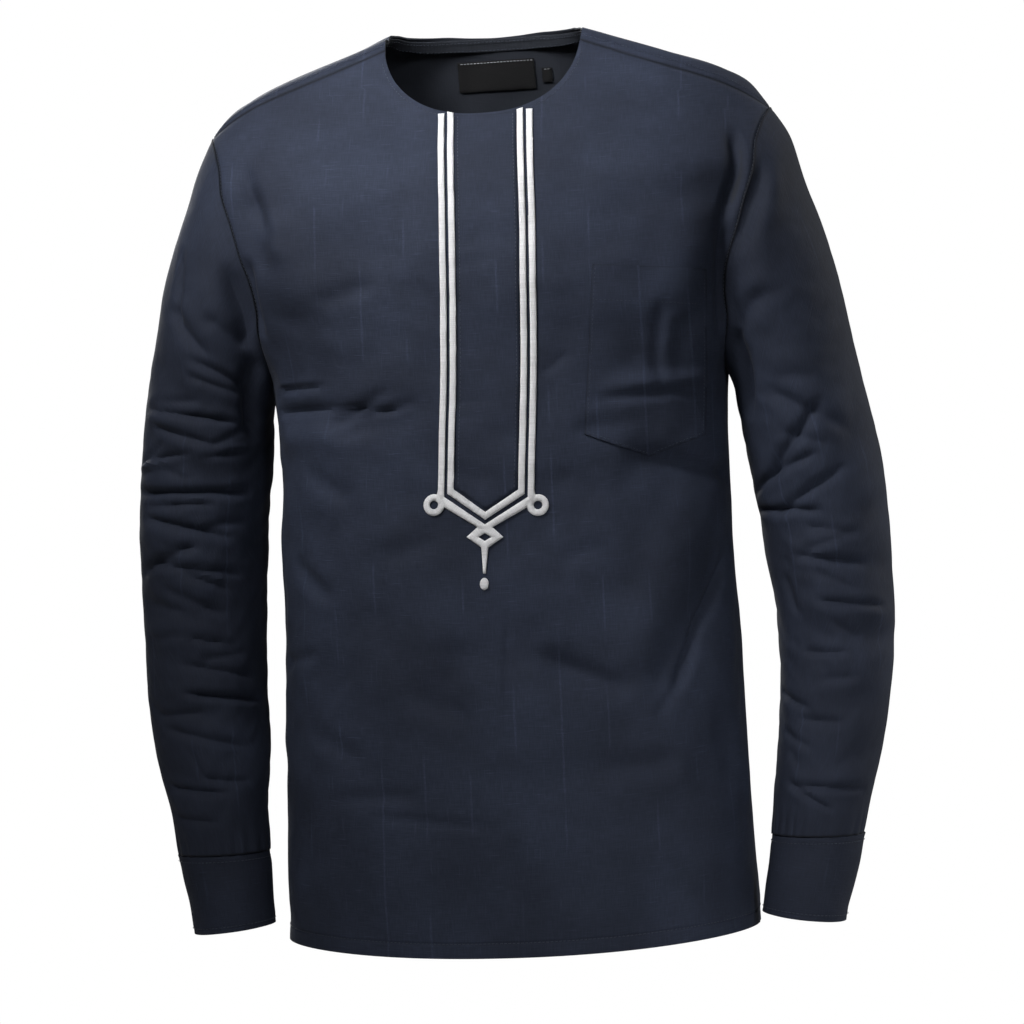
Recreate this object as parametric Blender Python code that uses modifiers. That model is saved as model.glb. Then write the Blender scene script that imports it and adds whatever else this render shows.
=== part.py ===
"""A collarless long-sleeved linen shirt, filled out as it is worn.

Metres, +Z up, the front faces -Y and +X is the wearer's left. The origin is the centre of the neck
opening, level with the points where neck and shoulders meet.
"""

import functools
import math

import bmesh
import bpy
import numpy as np
from mathutils import Matrix, Vector
from mathutils.bvhtree import BVHTree

CLOTH = 0.0015
SEAM_GAP = 0.0003
LAY_GAP = 0.0005
ROUNDNESS = 2.3
BODY_RADIUS = 0.165
SLEEVE_RADIUS = 0.052

UNDERARM_Z = -0.290
SHOULDER_TIP_Z = -0.075
ARMHOLE_FRONT = 0.067
ARMHOLE_BACK = 0.075
NECK_HALF_WIDTH = 0.0825
NECK_FRONT_DROP = 0.0737
NECK_BACK_REACH = 0.060
HEM_FRONT_Z = -0.760
HEM_SIDE_Z = -0.751

# Body form: height, half width, depth in front, depth behind.
BODY_FORM = (
    (-0.780, 0.1990, 0.1250, 0.1180),
    (-0.620, 0.1940, 0.1240, 0.1150),
    (-0.500, 0.1912, 0.1220, 0.1100),
    (-0.420, 0.1885, 0.1200, 0.1080),
    (-0.340, 0.1885, 0.1190, 0.1090),
    (-0.290, 0.1915, 0.1180, 0.1110),
    (-0.250, 0.2100, 0.1175, 0.1110),
    (-0.200, 0.2330, 0.1150, 0.1100),
    (-0.160, 0.2500, 0.1080, 0.1070),
    (-0.130, 0.2570, 0.0990, 0.1020),
    (-0.100, 0.2510, 0.0830, 0.0940),
    (-0.075, 0.2355, 0.0662, 0.0850),
    (-0.054, 0.2175, 0.0575, 0.0780),
    (-0.042, 0.1990, 0.0520, 0.0745),
    (-0.023, 0.1520, 0.0440, 0.0690),
    (-0.010, 0.1120, 0.0380, 0.0645),
    (0.000, 0.0825, 0.0330, 0.0610),
    (0.005, 0.0670, 0.0300, 0.0600),
    (0.030, 0.0100, 0.0150, 0.0400),
)

# Sleeve sections: inner edge x and z, outer edge x and z, depth in front, behind, and y of the middle.
LEFT_SLEEVE = (
    (0.1915, -0.2900, 0.2355, -0.0750, 0.0670, 0.0750, 0.000),
    (0.1940, -0.2950, 0.2500, -0.1000, 0.0675, 0.0745, 0.000),
    (0.1962, -0.3015, 0.2600, -0.1370, 0.0680, 0.0730, 0.000),
    (0.1980, -0.3090, 0.2730, -0.1760, 0.0675, 0.0715, 0.001),
    (0.1996, -0.3180, 0.2830, -0.2150, 0.0670, 0.0700, 0.002),
    (0.2010, -0.3300, 0.2915, -0.2570, 0.0660, 0.0680, 0.003),
    (0.2027, -0.3450, 0.3000, -0.3020, 0.0650, 0.0670, 0.004),
    (0.2050, -0.3630, 0.3090, -0.3450, 0.0640, 0.0660, 0.005),
    (0.2085, -0.3850, 0.3145, -0.3800, 0.0630, 0.0640, 0.005),
    (0.2137, -0.4200, 0.3171, -0.4200, 0.0610, 0.0620, 0.005),
    (0.2190, -0.4600, 0.3184, -0.4620, 0.0580, 0.0590, 0.004),
    (0.2235, -0.5020, 0.3185, -0.5020, 0.0550, 0.0560, 0.002),
    (0.2248, -0.5340, 0.3164, -0.5340, 0.0530, 0.0540, -0.001),
    (0.2232, -0.5700, 0.3112, -0.5700, 0.0500, 0.0510, -0.006),
    (0.2202, -0.6050, 0.3046, -0.6050, 0.0470, 0.0480, -0.012),
    (0.2160, -0.6400, 0.2952, -0.6400, 0.0430, 0.0440, -0.018),
    (0.2125, -0.6762, 0.2850, -0.6778, 0.0365, 0.0365, -0.024),
)
RIGHT_SLEEVE = (
    (0.1915, -0.2900, 0.2355, -0.0750, 0.0670, 0.0750, 0.000),
    (0.1938, -0.2950, 0.2490, -0.1040, 0.0675, 0.0745, 0.000),
    (0.1956, -0.3015, 0.2590, -0.1350, 0.0680, 0.0730, 0.000),
    (0.1972, -0.3090, 0.2710, -0.1670, 0.0675, 0.0715, 0.001),
    (0.1985, -0.3180, 0.2820, -0.2030, 0.0670, 0.0700, 0.002),
    (0.1996, -0.3300, 0.2912, -0.2450, 0.0660, 0.0680, 0.003),
    (0.2008, -0.3450, 0.3000, -0.2900, 0.0650, 0.0670, 0.004),
    (0.2025, -0.3630, 0.3070, -0.3400, 0.0640, 0.0660, 0.005),
    (0.2048, -0.3850, 0.3108, -0.3800, 0.0630, 0.0640, 0.005),
    (0.2082, -0.4200, 0.3132, -0.4200, 0.0610, 0.0620, 0.005),
    (0.2108, -0.4690, 0.3125, -0.4690, 0.0580, 0.0590, 0.004),
    (0.2125, -0.5180, 0.3112, -0.5180, 0.0550, 0.0560, 0.001),
    (0.2122, -0.5480, 0.3095, -0.5480, 0.0525, 0.0535, -0.003),
    (0.2116, -0.5780, 0.3065, -0.5780, 0.0500, 0.0510, -0.007),
    (0.2113, -0.6080, 0.3005, -0.6080, 0.0470, 0.0480, -0.012),
    (0.2120, -0.6400, 0.2920, -0.6400, 0.0430, 0.0440, -0.018),
    (0.2115, -0.6762, 0.2855, -0.6772, 0.0365, 0.0365, -0.024),
)

# Cuff sections, top then foot, with the columns of the sleeves.
LEFT_CUFF = (
    (0.2115, -0.6768, 0.2862, -0.6784, 0.0376, 0.0376, -0.024),
    (0.2010, -0.7385, 0.2675, -0.7485, 0.0340, 0.0340, -0.034),
)
RIGHT_CUFF = (
    (0.2105, -0.6768, 0.2865, -0.6778, 0.0376, 0.0376, -0.024),
    (0.2060, -0.7365, 0.2730, -0.7435, 0.0338, 0.0338, -0.034),
)
CUFF_CLOTH = 0.0022
CUFF_OVERLAP_AT = 232.0
CUFF_OVERLAP = 32.0
BUTTON_RADIUS = 0.0055
BUTTON_THICKNESS = 0.0024

# Folds of the body, as seen from in front or behind: side, start x and z, end x and z, half width,
# height above the cloth (a trough is negative).
BODY_FOLDS = (
    ("front", -0.196, -0.128, -0.176, -0.205, 0.014, -0.0060),
    ("front", -0.172, -0.150, -0.152, -0.230, 0.020, 0.0040),
    ("front", 0.196, -0.130, 0.178, -0.255, 0.015, -0.0065),
    ("front", 0.168, -0.150, 0.150, -0.250, 0.020, 0.0040),
    ("front", -0.180, -0.308, -0.070, -0.322, 0.012, -0.0045),
    ("front", -0.178, -0.332, -0.112, -0.338, 0.012, 0.0035),
    ("front", 0.182, -0.430, 0.118, -0.562, 0.016, -0.0060),
    ("front", 0.150, -0.415, 0.088, -0.560, 0.020, 0.0040),
    ("front", 0.040, -0.525, 0.115, -0.540, 0.018, -0.0040),
    ("front", -0.155, -0.520, -0.130, -0.545, 0.020, -0.0035),
    ("front", 0.110, -0.365, 0.178, -0.380, 0.016, -0.0040),
    ("back", -0.196, -0.130, -0.178, -0.250, 0.016, -0.0060),
    ("back", 0.196, -0.130, 0.178, -0.250, 0.016, -0.0060),
    ("back", -0.168, -0.150, -0.150, -0.260, 0.022, 0.0035),
    ("back", 0.168, -0.150, 0.150, -0.260, 0.022, 0.0035),
    ("back", -0.120, -0.420, 0.020, -0.455, 0.018, -0.0050),
    ("back", 0.130, -0.470, 0.010, -0.505, 0.018, -0.0045),
    ("back", -0.060, -0.560, -0.080, -0.720, 0.020, -0.0040),
    ("back", 0.070, -0.580, 0.085, -0.735, 0.020, -0.0040),
)

# Folds of a sleeve: start height and angle, end height and angle, half width, height above the
# cloth. The angle is 0 at the inner edge, 90 in front, 180 at the outer edge and 270 behind.
LEFT_FOLDS = (
    (-0.330, 150, -0.430, 60, 0.013, -0.0060),
    (-0.385, 165, -0.455, 70, 0.012, 0.0050),
    (-0.402, 175, -0.432, 60, 0.011, -0.0055),
    (-0.462, 180, -0.452, 70, 0.011, -0.0050),
    (-0.500, 165, -0.488, 60, 0.011, 0.0040),
    (-0.520, 190, -0.512, 60, 0.011, -0.0055),
    (-0.558, 140, -0.592, 55, 0.012, -0.0050),
    (-0.604, 185, -0.622, 60, 0.011, -0.0045),
    (-0.655, 175, -0.645, 70, 0.010, -0.0035),
    (-0.340, 215, -0.420, 310, 0.014, -0.0060),
    (-0.415, 200, -0.460, 300, 0.012, -0.0050),
    (-0.480, 210, -0.500, 315, 0.012, -0.0055),
    (-0.540, 200, -0.560, 300, 0.012, -0.0050),
    (-0.610, 205, -0.600, 300, 0.012, -0.0045),
)
RIGHT_FOLDS = (
    (-0.262, 150, -0.318, 60, 0.013, -0.0050),
    (-0.300, 150, -0.350, 70, 0.013, 0.0050),
    (-0.318, 150, -0.372, 60, 0.011, -0.0055),
    (-0.375, 150, -0.398, 60, 0.011, -0.0050),
    (-0.400, 150, -0.440, 60, 0.011, 0.0045),
    (-0.470, 150, -0.476, 60, 0.011, -0.0055),
    (-0.505, 150, -0.520, 60, 0.011, -0.0045),
    (-0.560, 150, -0.560, 60, 0.011, -0.0055),
    (-0.612, 150, -0.618, 60, 0.012, -0.0050),
    (-0.648, 150, -0.644, 70, 0.010, -0.0035),
    (-0.330, 215, -0.410, 310, 0.014, -0.0060),
    (-0.425, 212, -0.450, 300, 0.012, -0.0050),
    (-0.490, 212, -0.505, 315, 0.012, -0.0055),
    (-0.550, 212, -0.565, 300, 0.012, -0.0050),
    (-0.615, 212, -0.605, 300, 0.012, -0.0045),
)

NECK_COLUMNS = 4
SIDE_COLUMNS = 8
BODY_ROWS = 18
CHEST_ROWS = 10
SEAM_ROWS_FRONT = 2
SEAM_ROWS_BACK = 3
SLEEVE_RINGS = 28
NECK_CORNER_FRONT = 78.5
NECK_CORNER_BACK = 84.0
SEAM_AT_NECK = 84.2
SEAM_AT_TIP = 88.5

NECK_EDGE_MARGIN = 0.0025

# The front ornament's axis, which leans: height and x.
TRIM_AXIS = (
    (-0.470, -0.0070),
    (-0.420, -0.0046),
    (-0.384, -0.0023),
    (-0.355, -0.0004),
    (-0.280, 0.0040),
    (-0.200, 0.0066),
    (-0.160, 0.0069),
    (-0.070, 0.0040),
)
TRIM_TILT = 0.044
TRIM_RELIEF = 0.0010
TRIM_BAND = 0.0053
TRIM_OUTER = 0.0390
TRIM_INNER = 0.0260
TRIM_TURN_Z = -0.386
TRIM_LOOP_X = 0.0420
TRIM_LOOP_Z = -0.3955
TRIM_LOOP_RADIUS = 0.0088
TRIM_LOOP_HOLE = 0.0035
TRIM_POINT_Z = -0.4110
DIAMOND_Z = -0.4212
DIAMOND_HALF_WIDTH = 0.0149
DIAMOND_HALF_HEIGHT = 0.0105
DIAMOND_HOLE = (0.0052, 0.0031)
STEM_HALF_WIDTH = 0.0029
STEM_FOOT_HALF_WIDTH = 0.0011
STEM_FOOT_Z = -0.4505
DROP_Z = -0.4588
DROP_SIZE = (0.0036, 0.0049)
PLACKET_HALF_WIDTH = 0.0245
PLACKET_POINT_Z = -0.3985
PIECE_CLOTH = 0.0010

POCKET_TOP_LEFT = (0.0905, -0.2055)
POCKET_TOP_RIGHT = (0.1800, -0.2120)
POCKET_FOOT_LEFT = (0.0785, -0.3420)
POCKET_FOOT_RIGHT = (0.1720, -0.3460)
POCKET_POINT = (0.1280, -0.3620)

BAND_HEIGHT = 0.011
BAND_MARGIN = 0.0008
BAND_GAP = 0.0018
LABEL_HALF_WIDTH = 0.0335
LABEL_TOP_Z = -0.0130
LABEL_FOOT_Z = -0.0380
TAB_MIDDLE_X = 0.0440
TAB_HALF_WIDTH = 0.0045
TAB_TOP_Z = -0.0215
TAB_FOOT_Z = -0.0335
SMALL_CLOTH = 0.0006
PIECE_CELL = 0.016
TRIM_CELL = 0.024
BAND_POINTS = 13
SETTLING_PASSES = 8

NAVY = (0.020, 0.027, 0.042, 1.0)
NAVY_DARK = (0.012, 0.015, 0.022, 1.0)
WHITE_THREAD = (0.86, 0.86, 0.88, 1.0)
BLACK_WOVEN = (0.010, 0.010, 0.012, 1.0)


def smooth_table(rows, at, column):
    """A table's column read at the keys in its first column, without overshoot between rows."""
    rows = sorted(rows)
    keys = np.array([row[0] for row in rows])
    values = np.array([row[column] for row in rows])
    steps = np.diff(keys)
    slopes = np.diff(values) / steps
    tangents = np.zeros(len(keys))
    same = slopes[:-1] * slopes[1:] > 0
    before, after = steps[:-1], steps[1:]
    weight_a, weight_b = 2 * after + before, after + 2 * before
    safe_a = np.where(same, slopes[:-1], 1.0)
    safe_b = np.where(same, slopes[1:], 1.0)
    tangents[1:-1] = np.where(same, (weight_a + weight_b) / (weight_a / safe_a + weight_b / safe_b), 0.0)
    tangents[0], tangents[-1] = slopes[0], slopes[-1]
    at = np.clip(np.asarray(at, float), keys[0], keys[-1])
    i = np.clip(np.searchsorted(keys, at) - 1, 0, len(steps) - 1)
    t = (at - keys[i]) / steps[i]
    return (
        values[i] * (1 + 2 * t) * (1 - t) ** 2
        + tangents[i] * steps[i] * t * (1 - t) ** 2
        + values[i + 1] * t * t * (3 - 2 * t)
        + tangents[i + 1] * steps[i] * t * t * (t - 1)
    )


FORM_HEIGHTS = np.linspace(BODY_FORM[0][0], BODY_FORM[-1][0], 6001)
FORM_SIZES = [smooth_table(BODY_FORM, FORM_HEIGHTS, column) for column in (1, 2, 3)]


def body_sizes(z, y):
    """Half width and depth of the body form at a height, in front or behind."""
    width, front, back = (np.interp(z, FORM_HEIGHTS, sizes) for sizes in FORM_SIZES)
    return width, np.where(y < 0, front, back)


def form_value(p):
    """1 on the body form, less inside it."""
    width, depth = body_sizes(p[..., 2], p[..., 1])
    return (np.abs(p[..., 0]) / width) ** ROUNDNESS + (np.abs(p[..., 1]) / depth) ** ROUNDNESS


def form_normal(p):
    """The outward direction of the body form."""
    step = 0.0004
    across = [form_value(p + step * axis) - form_value(p - step * axis) for axis in np.eye(3)]
    gradient = np.stack(across, axis=-1)
    return gradient / np.linalg.norm(gradient, axis=-1, keepdims=True)


def fan_point(x, angle, behind):
    """The form's point at x, on the ray that leaves the line between the underarms at this angle."""
    low, high = np.zeros_like(x), np.full_like(x, 0.4)
    sign = 1.0 if behind else -1.0
    cos, sin = np.cos(angle), np.sin(angle)
    for _ in range(32):
        r = (low + high) / 2
        p = np.stack([x, sign * r * cos, UNDERARM_Z + r * sin], axis=-1)
        inside = form_value(p) < 1
        low, high = np.where(inside, r, low), np.where(inside, high, r)
    return np.stack([x, sign * low * cos, UNDERARM_Z + low * sin], axis=-1)


@functools.lru_cache(maxsize=None)
def armhole_point(angle, behind):
    """The armhole's point at this fan angle: an ellipse in side view, laid on the body form."""
    height = (SHOULDER_TIP_Z - UNDERARM_Z) / 2
    front = angle <= math.pi / 2
    reach = ARMHOLE_BACK if behind == front else ARMHOLE_FRONT
    sin, cos = math.sin(angle), math.cos(angle)
    r = (2 * sin / height) / ((sin / height) ** 2 + (cos / reach) ** 2)
    y = (1 if behind else -1) * r * cos
    z = UNDERARM_Z + r * sin
    width, depth = body_sizes(z, y)
    x = float(width * (1 - (abs(y) / depth) ** ROUNDNESS) ** (1 / ROUNDNESS))
    return np.array([x, y, z])


def neck_value(p):
    """0 on the neckline, less inside the neck opening."""
    x, y, z = p
    drop = -z / NECK_FRONT_DROP if y < 0 else y / NECK_BACK_REACH
    return (x / NECK_HALF_WIDTH) ** ROUNDNESS + max(drop, 0.0) ** ROUNDNESS - 1


def fan_single(x, angle, behind):
    return fan_point(np.array([x]), angle, behind)[0]


@functools.lru_cache(maxsize=None)
def neck_x(angle, behind):
    """Half width of the neck opening on the fan's ray at this angle."""
    low, high = 0.0, 0.1
    for _ in range(24):
        x = (low + high) / 2
        if neck_value(fan_single(x, angle, behind)) < 0:
            low = x
        else:
            high = x
    return low


def column_share(j):
    """Where column j stands between the middle, 0, and the armhole or side seam, 1."""
    neck_angle = math.asin(NECK_HALF_WIDTH / 0.2330)
    count = abs(j)
    if count <= NECK_COLUMNS:
        angle = neck_angle * count / NECK_COLUMNS
    else:
        part = (count - NECK_COLUMNS) / SIDE_COLUMNS
        angle = neck_angle + (math.pi / 2 - neck_angle) * part
    return math.sin(angle)


def ease(t):
    t = min(max(t, 0.0), 1.0)
    return t * t * (3 - 2 * t)


def column_x(j, angle, behind, corner):
    """x of column j on the row at this angle: the neck column turns to follow the neckline."""
    edge = armhole_point(angle, behind)[0]
    plain = edge * column_share(NECK_COLUMNS)
    if angle >= corner:
        neck = neck_x(angle, behind)
    else:
        at_corner = neck_x(corner, behind)
        neck = at_corner + (plain - at_corner) * ease((corner - angle) / math.radians(30))
    share, neck_share = column_share(j), column_share(NECK_COLUMNS)
    if abs(j) <= NECK_COLUMNS:
        return neck * share / neck_share
    return neck + (edge - neck) * (share - neck_share) / (1 - neck_share)


@functools.lru_cache(maxsize=None)
def neckline_angle(j, behind, corner):
    """The angle at which an inner column reaches the neckline."""
    low, high = math.radians(50), corner + math.radians(0.01)
    for _ in range(24):
        angle = (low + high) / 2
        if neck_value(fan_single(column_x(j, angle, behind, corner), angle, behind)) > 0:
            low = angle
        else:
            high = angle
    return low


def seam_angle(j):
    """Angle of the forward shoulder seam, measured in front, at an outer column."""
    part = (abs(j) - NECK_COLUMNS) / SIDE_COLUMNS
    return math.radians(SEAM_AT_NECK + (SEAM_AT_TIP - SEAM_AT_NECK) * part)


def around(p, behind):
    """Where a point lies round the body, as a length from the front or back middle."""
    width, depth = body_sizes(p[..., 2], p[..., 1])
    ahead = p[..., 1] / depth * (1 if behind else -1)
    return BODY_RADIUS * np.arctan2(p[..., 0] / width, ahead)


def on_form(x, z, behind):
    """The form's point seen at x and z from in front or behind."""
    x, z = np.asarray(x, float), np.asarray(z, float)
    sign = 1.0 if behind else -1.0
    width, depth = body_sizes(z, np.full_like(z, sign))
    y = sign * depth * np.clip(1 - (np.abs(x) / width) ** ROUNDNESS, 0, 1) ** (1 / ROUNDNESS)
    return np.stack([x, y, z], axis=-1)


def crease(du, dv, start, end, half_width, height):
    """A soft ridge or trough along a line, fading out at both ends."""
    along = np.array(end) - np.array(start)
    length = math.hypot(*along)
    along = along / length
    u, v = du - start[0], dv - start[1]
    t = (u * along[0] + v * along[1]) / length
    off = -u * along[1] + v * along[0]
    overshoot = np.maximum(np.maximum(-t, t - 1), 0) * length
    fade = np.clip(np.minimum(t, 1 - t) * 3 + 0.35, 0, 1)
    fade = fade * fade * (3 - 2 * fade)
    return height * fade * np.exp(-((off**2 + overshoot**2) / half_width**2))


def body_fold(p):
    """Height of the folds above the body form."""
    z = p[..., 2]
    total = np.zeros_like(z)
    for side, x0, z0, x1, z1, half_width, height in BODY_FOLDS:
        behind = side == "back"
        ends = around(on_form([x0, x1], [z0, z1], behind), behind)
        start, end = (ends[0], z0), (ends[1], z1)
        total = total + crease(around(p, behind), z, start, end, half_width, height)
    return total


def settle(p):
    """Body form points with their folds, and the outward direction there."""
    normal = form_normal(p)
    return p + normal * body_fold(p)[..., None], normal


def material(name, colour, roughness):
    made = bpy.data.materials.new(name)
    made.use_nodes = True
    shader = made.node_tree.nodes["Principled BSDF"]
    shader.inputs["Base Color"].default_value = colour
    shader.inputs["Roughness"].default_value = roughness
    shader.inputs["Metallic"].default_value = 0.0
    return made


def add_object(name, mesh, finish):
    made = bpy.data.objects.new(name, mesh)
    mesh.materials.append(finish)
    mesh.shade_smooth()
    mesh.set_sharp_from_angle(angle=math.radians(40))
    bpy.data.collections["linen_shirt"].objects.link(made)
    return made


def walled(name, cells, outer, inner, finish):
    """A closed wall from cells of outer points, each with its inner point, and a rim round its edge."""
    work = bmesh.new()
    outside = [work.verts.new(p) for p in outer]
    inside = [work.verts.new(p) for p in inner]
    used = {}
    for cell in cells:
        work.faces.new([outside[i] for i in cell])
        work.faces.new([inside[i] for i in reversed(cell)])
        for a, b in zip(cell, cell[1:] + cell[:1]):
            used[(a, b)] = used.get((a, b), 0) + 1
    for a, b in used:
        if (b, a) not in used:
            work.faces.new([outside[b], outside[a], inside[a], inside[b]])
    bmesh.ops.delete(work, geom=[v for v in work.verts if not v.link_faces], context="VERTS")
    bmesh.ops.triangulate(work, faces=work.faces[:], quad_method="SHORT_EDGE")
    mesh = bpy.data.meshes.new(name)
    work.to_mesh(mesh)
    work.free()
    return add_object(name, mesh, finish)


def panel_rows(behind):
    """Grid of form points of a body panel: row, column and point, with the angle at the armhole."""
    corner = math.radians(NECK_CORNER_BACK if behind else NECK_CORNER_FRONT)
    seam_rows = SEAM_ROWS_BACK if behind else SEAM_ROWS_FRONT
    last = NECK_COLUMNS + SIDE_COLUMNS
    half_gap = SEAM_GAP / 2
    points, armhole = {}, []
    for j in range(-last, last + 1):
        side = math.copysign(1.0, j)
        inner = abs(j) < NECK_COLUMNS
        share = column_share(j)
        hem = HEM_FRONT_Z + (HEM_SIDE_Z - HEM_FRONT_Z) * share**2
        for row in range(BODY_ROWS):
            z = hem + (UNDERARM_Z - hem) * row / BODY_ROWS
            width = body_sizes(z, -1.0)[0]
            points[row, j] = on_form(side * share * width, z, behind)
        top = neckline_angle(abs(j), behind, corner) if inner else corner
        for row in range(CHEST_ROWS + 1):
            angle = top * row / CHEST_ROWS
            x = column_x(abs(j), angle, behind, corner)
            p = armhole_point(angle, behind) if abs(j) == last else fan_single(x, angle, behind)
            points[BODY_ROWS + row, j] = p * (side, 1, 1)
        if inner:
            continue
        seam = seam_angle(j)
        end = math.pi - seam - half_gap / 0.25 if behind else seam - half_gap / 0.25
        for row in range(1, seam_rows + 1):
            angle = corner + (end - corner) * row / seam_rows
            p = armhole_point(angle, behind) if abs(j) == last else None
            if p is None:
                turned, ray = (not behind, math.pi - angle) if angle > math.pi / 2 else (behind, angle)
                x = column_across(abs(j), angle, behind)
                p = fan_single(x, ray, turned)
            points[BODY_ROWS + CHEST_ROWS + row, j] = p * (side, 1, 1)
    for (row, j), p in points.items():
        if abs(j) == last and row <= BODY_ROWS:
            points[row, j] = np.array([p[0], half_gap if behind else -half_gap, p[2]])
    return points


def column_across(j, angle, behind):
    """x of an outer column on a row beside the neck opening."""
    turned, ray = (not behind, math.pi - angle) if angle > math.pi / 2 else (behind, angle)
    edge = armhole_point(angle, behind)[0]
    neck = neck_x(ray, turned)
    share, neck_share = column_share(j), column_share(NECK_COLUMNS)
    return neck + (edge - neck) * (share - neck_share) / (1 - neck_share)


def armhole_turn(p):
    """Angle round the armhole, from 0 at the underarm by 90 in front and 180 at the shoulder tip."""
    height = (SHOULDER_TIP_Z - UNDERARM_Z) / 2
    middle = (SHOULDER_TIP_Z + UNDERARM_Z) / 2
    reach = ARMHOLE_BACK if p[1] > 0 else ARMHOLE_FRONT
    return math.atan2(-p[1] / reach, (middle - p[2]) / height) % (2 * math.pi)


def seam_directions(points, normals, turns):
    """Inward directions at an armhole, half way between body and sleeve, and up at the underarm."""
    sleeve_out = np.array([0.75, 0.0, 0.25]) * np.sign(points[:, :1])
    sleeve_out[:, 2] = 0.25
    sleeve_out[:, 1] = -np.sin(turns) * 0.9
    under = ((1 + np.cos(turns)) / 2) ** 3
    mixed = normals + 0.35 * sleeve_out
    mixed = mixed * (1 - under[:, None]) + np.array([0.0, 0.0, -1.0]) * under[:, None]
    return -mixed / np.linalg.norm(mixed, axis=1, keepdims=True)


def build_panel(name, behind, finish):
    """Front or back panel, its armhole edges from the underarm to the seam, and its grid of points."""
    grid = panel_rows(behind)
    last = NECK_COLUMNS + SIDE_COLUMNS
    keys = sorted(grid)
    index = {key: i for i, key in enumerate(keys)}
    outer, normals = settle(np.array([grid[key] for key in keys]))
    inward = -normals
    edges = {}
    for side in (-1, 1):
        edge = [i for key, i in index.items() if key[1] == side * last and key[0] >= BODY_ROWS]
        turns = np.array([armhole_turn(grid[keys[i]]) for i in edge])
        inward[edge] = seam_directions(outer[edge], normals[edge], turns)
        edges[side] = [(turn, outer[i], inward[i]) for turn, i in zip(turns, edge)]
    cells = []
    for row, j in keys:
        cell = [(row, j), (row, j + 1), (row + 1, j + 1), (row + 1, j)]
        if all(key in index for key in cell):
            beside_neck = row >= BODY_ROWS + CHEST_ROWS
            if beside_neck and -NECK_COLUMNS <= j < NECK_COLUMNS:
                continue
            cell = [index[key] for key in cell]
            cells.append(cell[::-1] if behind else cell)
    panel = walled(name, cells, outer, outer + inward * CLOTH, finish)
    sheet = {key: (outer[i], inward[i]) for key, i in index.items()}
    return panel, edges, sheet


def row_spline(rows, at, column):
    """A section table's column, smooth in row number."""
    numbered = [(i, *row) for i, row in enumerate(rows)]
    return smooth_table(numbered, at, column + 1)


def sleeve_sections(rows, at, turns, side):
    """Rings of plain sleeve points at fractional row numbers."""
    at = np.asarray(at, float)[:, None]
    inner_x, inner_z, outer_x, outer_z, front, back, middle_y = (row_spline(rows, at, c) for c in range(7))
    cos, sin = np.cos(turns)[None, :], np.sin(turns)[None, :]
    x = (inner_x + outer_x) / 2 + (inner_x - outer_x) / 2 * cos
    z = (inner_z + outer_z) / 2 + (inner_z - outer_z) / 2 * cos
    y = middle_y - np.where(sin > 0, front, back) * sin
    return np.stack([side * x, y, z], axis=-1)


def sleeve_fold(z, turns, folds):
    """Height of a sleeve's folds at heights z and angles round it."""
    total = np.zeros_like(z)
    for z0, turn0, z1, turn1, half_width, height in folds:
        start, end = (math.radians(turn0) * SLEEVE_RADIUS, z0), (math.radians(turn1) * SLEEVE_RADIUS, z1)
        total = total + crease(turns * SLEEVE_RADIUS, z, start, end, half_width, height)
    return total


def tube_normals(points, side):
    """Outward directions of a closed tube's grid of rings."""
    round_way = np.roll(points, -1, axis=1) - np.roll(points, 1, axis=1)
    down = np.gradient(points, axis=0)
    normals = np.cross(down, round_way) * side
    return normals / np.linalg.norm(normals, axis=2, keepdims=True)


def build_sleeve(name, side, rows, folds, edge, finish):
    """A set-in sleeve on the armhole's own points, each with its angle and inward direction."""
    turns = np.array([turn for turn, _, _ in edge])
    at_body = np.array([p for _, p, _ in edge])
    inward_at_body = np.array([d for _, _, d in edge])
    at = np.linspace(0, 1, SLEEVE_RINGS + 1) ** 0.92 * (len(rows) - 1)
    points = sleeve_sections(rows, at, turns, side)
    fade = np.clip(1 - at / 3.2, 0, 1)[:, None, None]
    points = points + (at_body - points[0])[None] * fade**2 * (3 - 2 * fade)
    first = points[1] - points[0]
    first = first / np.linalg.norm(first, axis=1, keepdims=True)
    points[0] = points[0] + first * SEAM_GAP
    normals = tube_normals(points, side)
    height = sleeve_fold(points[..., 2], turns[None, :] + 0 * points[..., 2], folds)
    calm = np.clip(at / 3, 0, 1)[:, None] * np.clip((len(rows) - 1 - at) / 1.2, 0, 1)[:, None]
    points = points + normals * (height * calm)[..., None]
    inward = -normals
    inward[0] = inward_at_body
    build_tube(name, points, points + inward * CLOTH, side, finish)


def build_tube(name, outer, inner, side, finish):
    rings, count = outer.shape[:2]
    cells = []
    for i in range(rings - 1):
        for k in range(count):
            cell = [i * count + k, (i + 1) * count + k]
            cell += [(i + 1) * count + (k + 1) % count, i * count + (k + 1) % count]
            cells.append(cell if side > 0 else cell[::-1])
    walled(name, cells, outer.reshape(-1, 3), inner.reshape(-1, 3), finish)


def cuff_offset(part):
    """How far the cuff's band has spiralled out at this many degrees from its start."""
    return (CUFF_CLOTH + LAY_GAP) * ease((part - 285) / 60)


def cuff_points(rows, side, parts, heights):
    """Outer points of a cuff's overlapped band, at degrees from its start and heights 0 to 1."""
    turns = np.radians(CUFF_OVERLAP_AT - CUFF_OVERLAP / 2 + np.asarray(parts))
    points = sleeve_sections(rows, heights, turns, side)
    middle = sleeve_sections(rows, heights, turns + math.pi, side)
    outward = points - (points + middle) / 2
    outward[..., 2] = 0
    outward = outward / np.linalg.norm(outward, axis=2, keepdims=True)
    offsets = np.array([cuff_offset(part) for part in parts])
    return points + outward * offsets[None, :, None], outward


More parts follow.
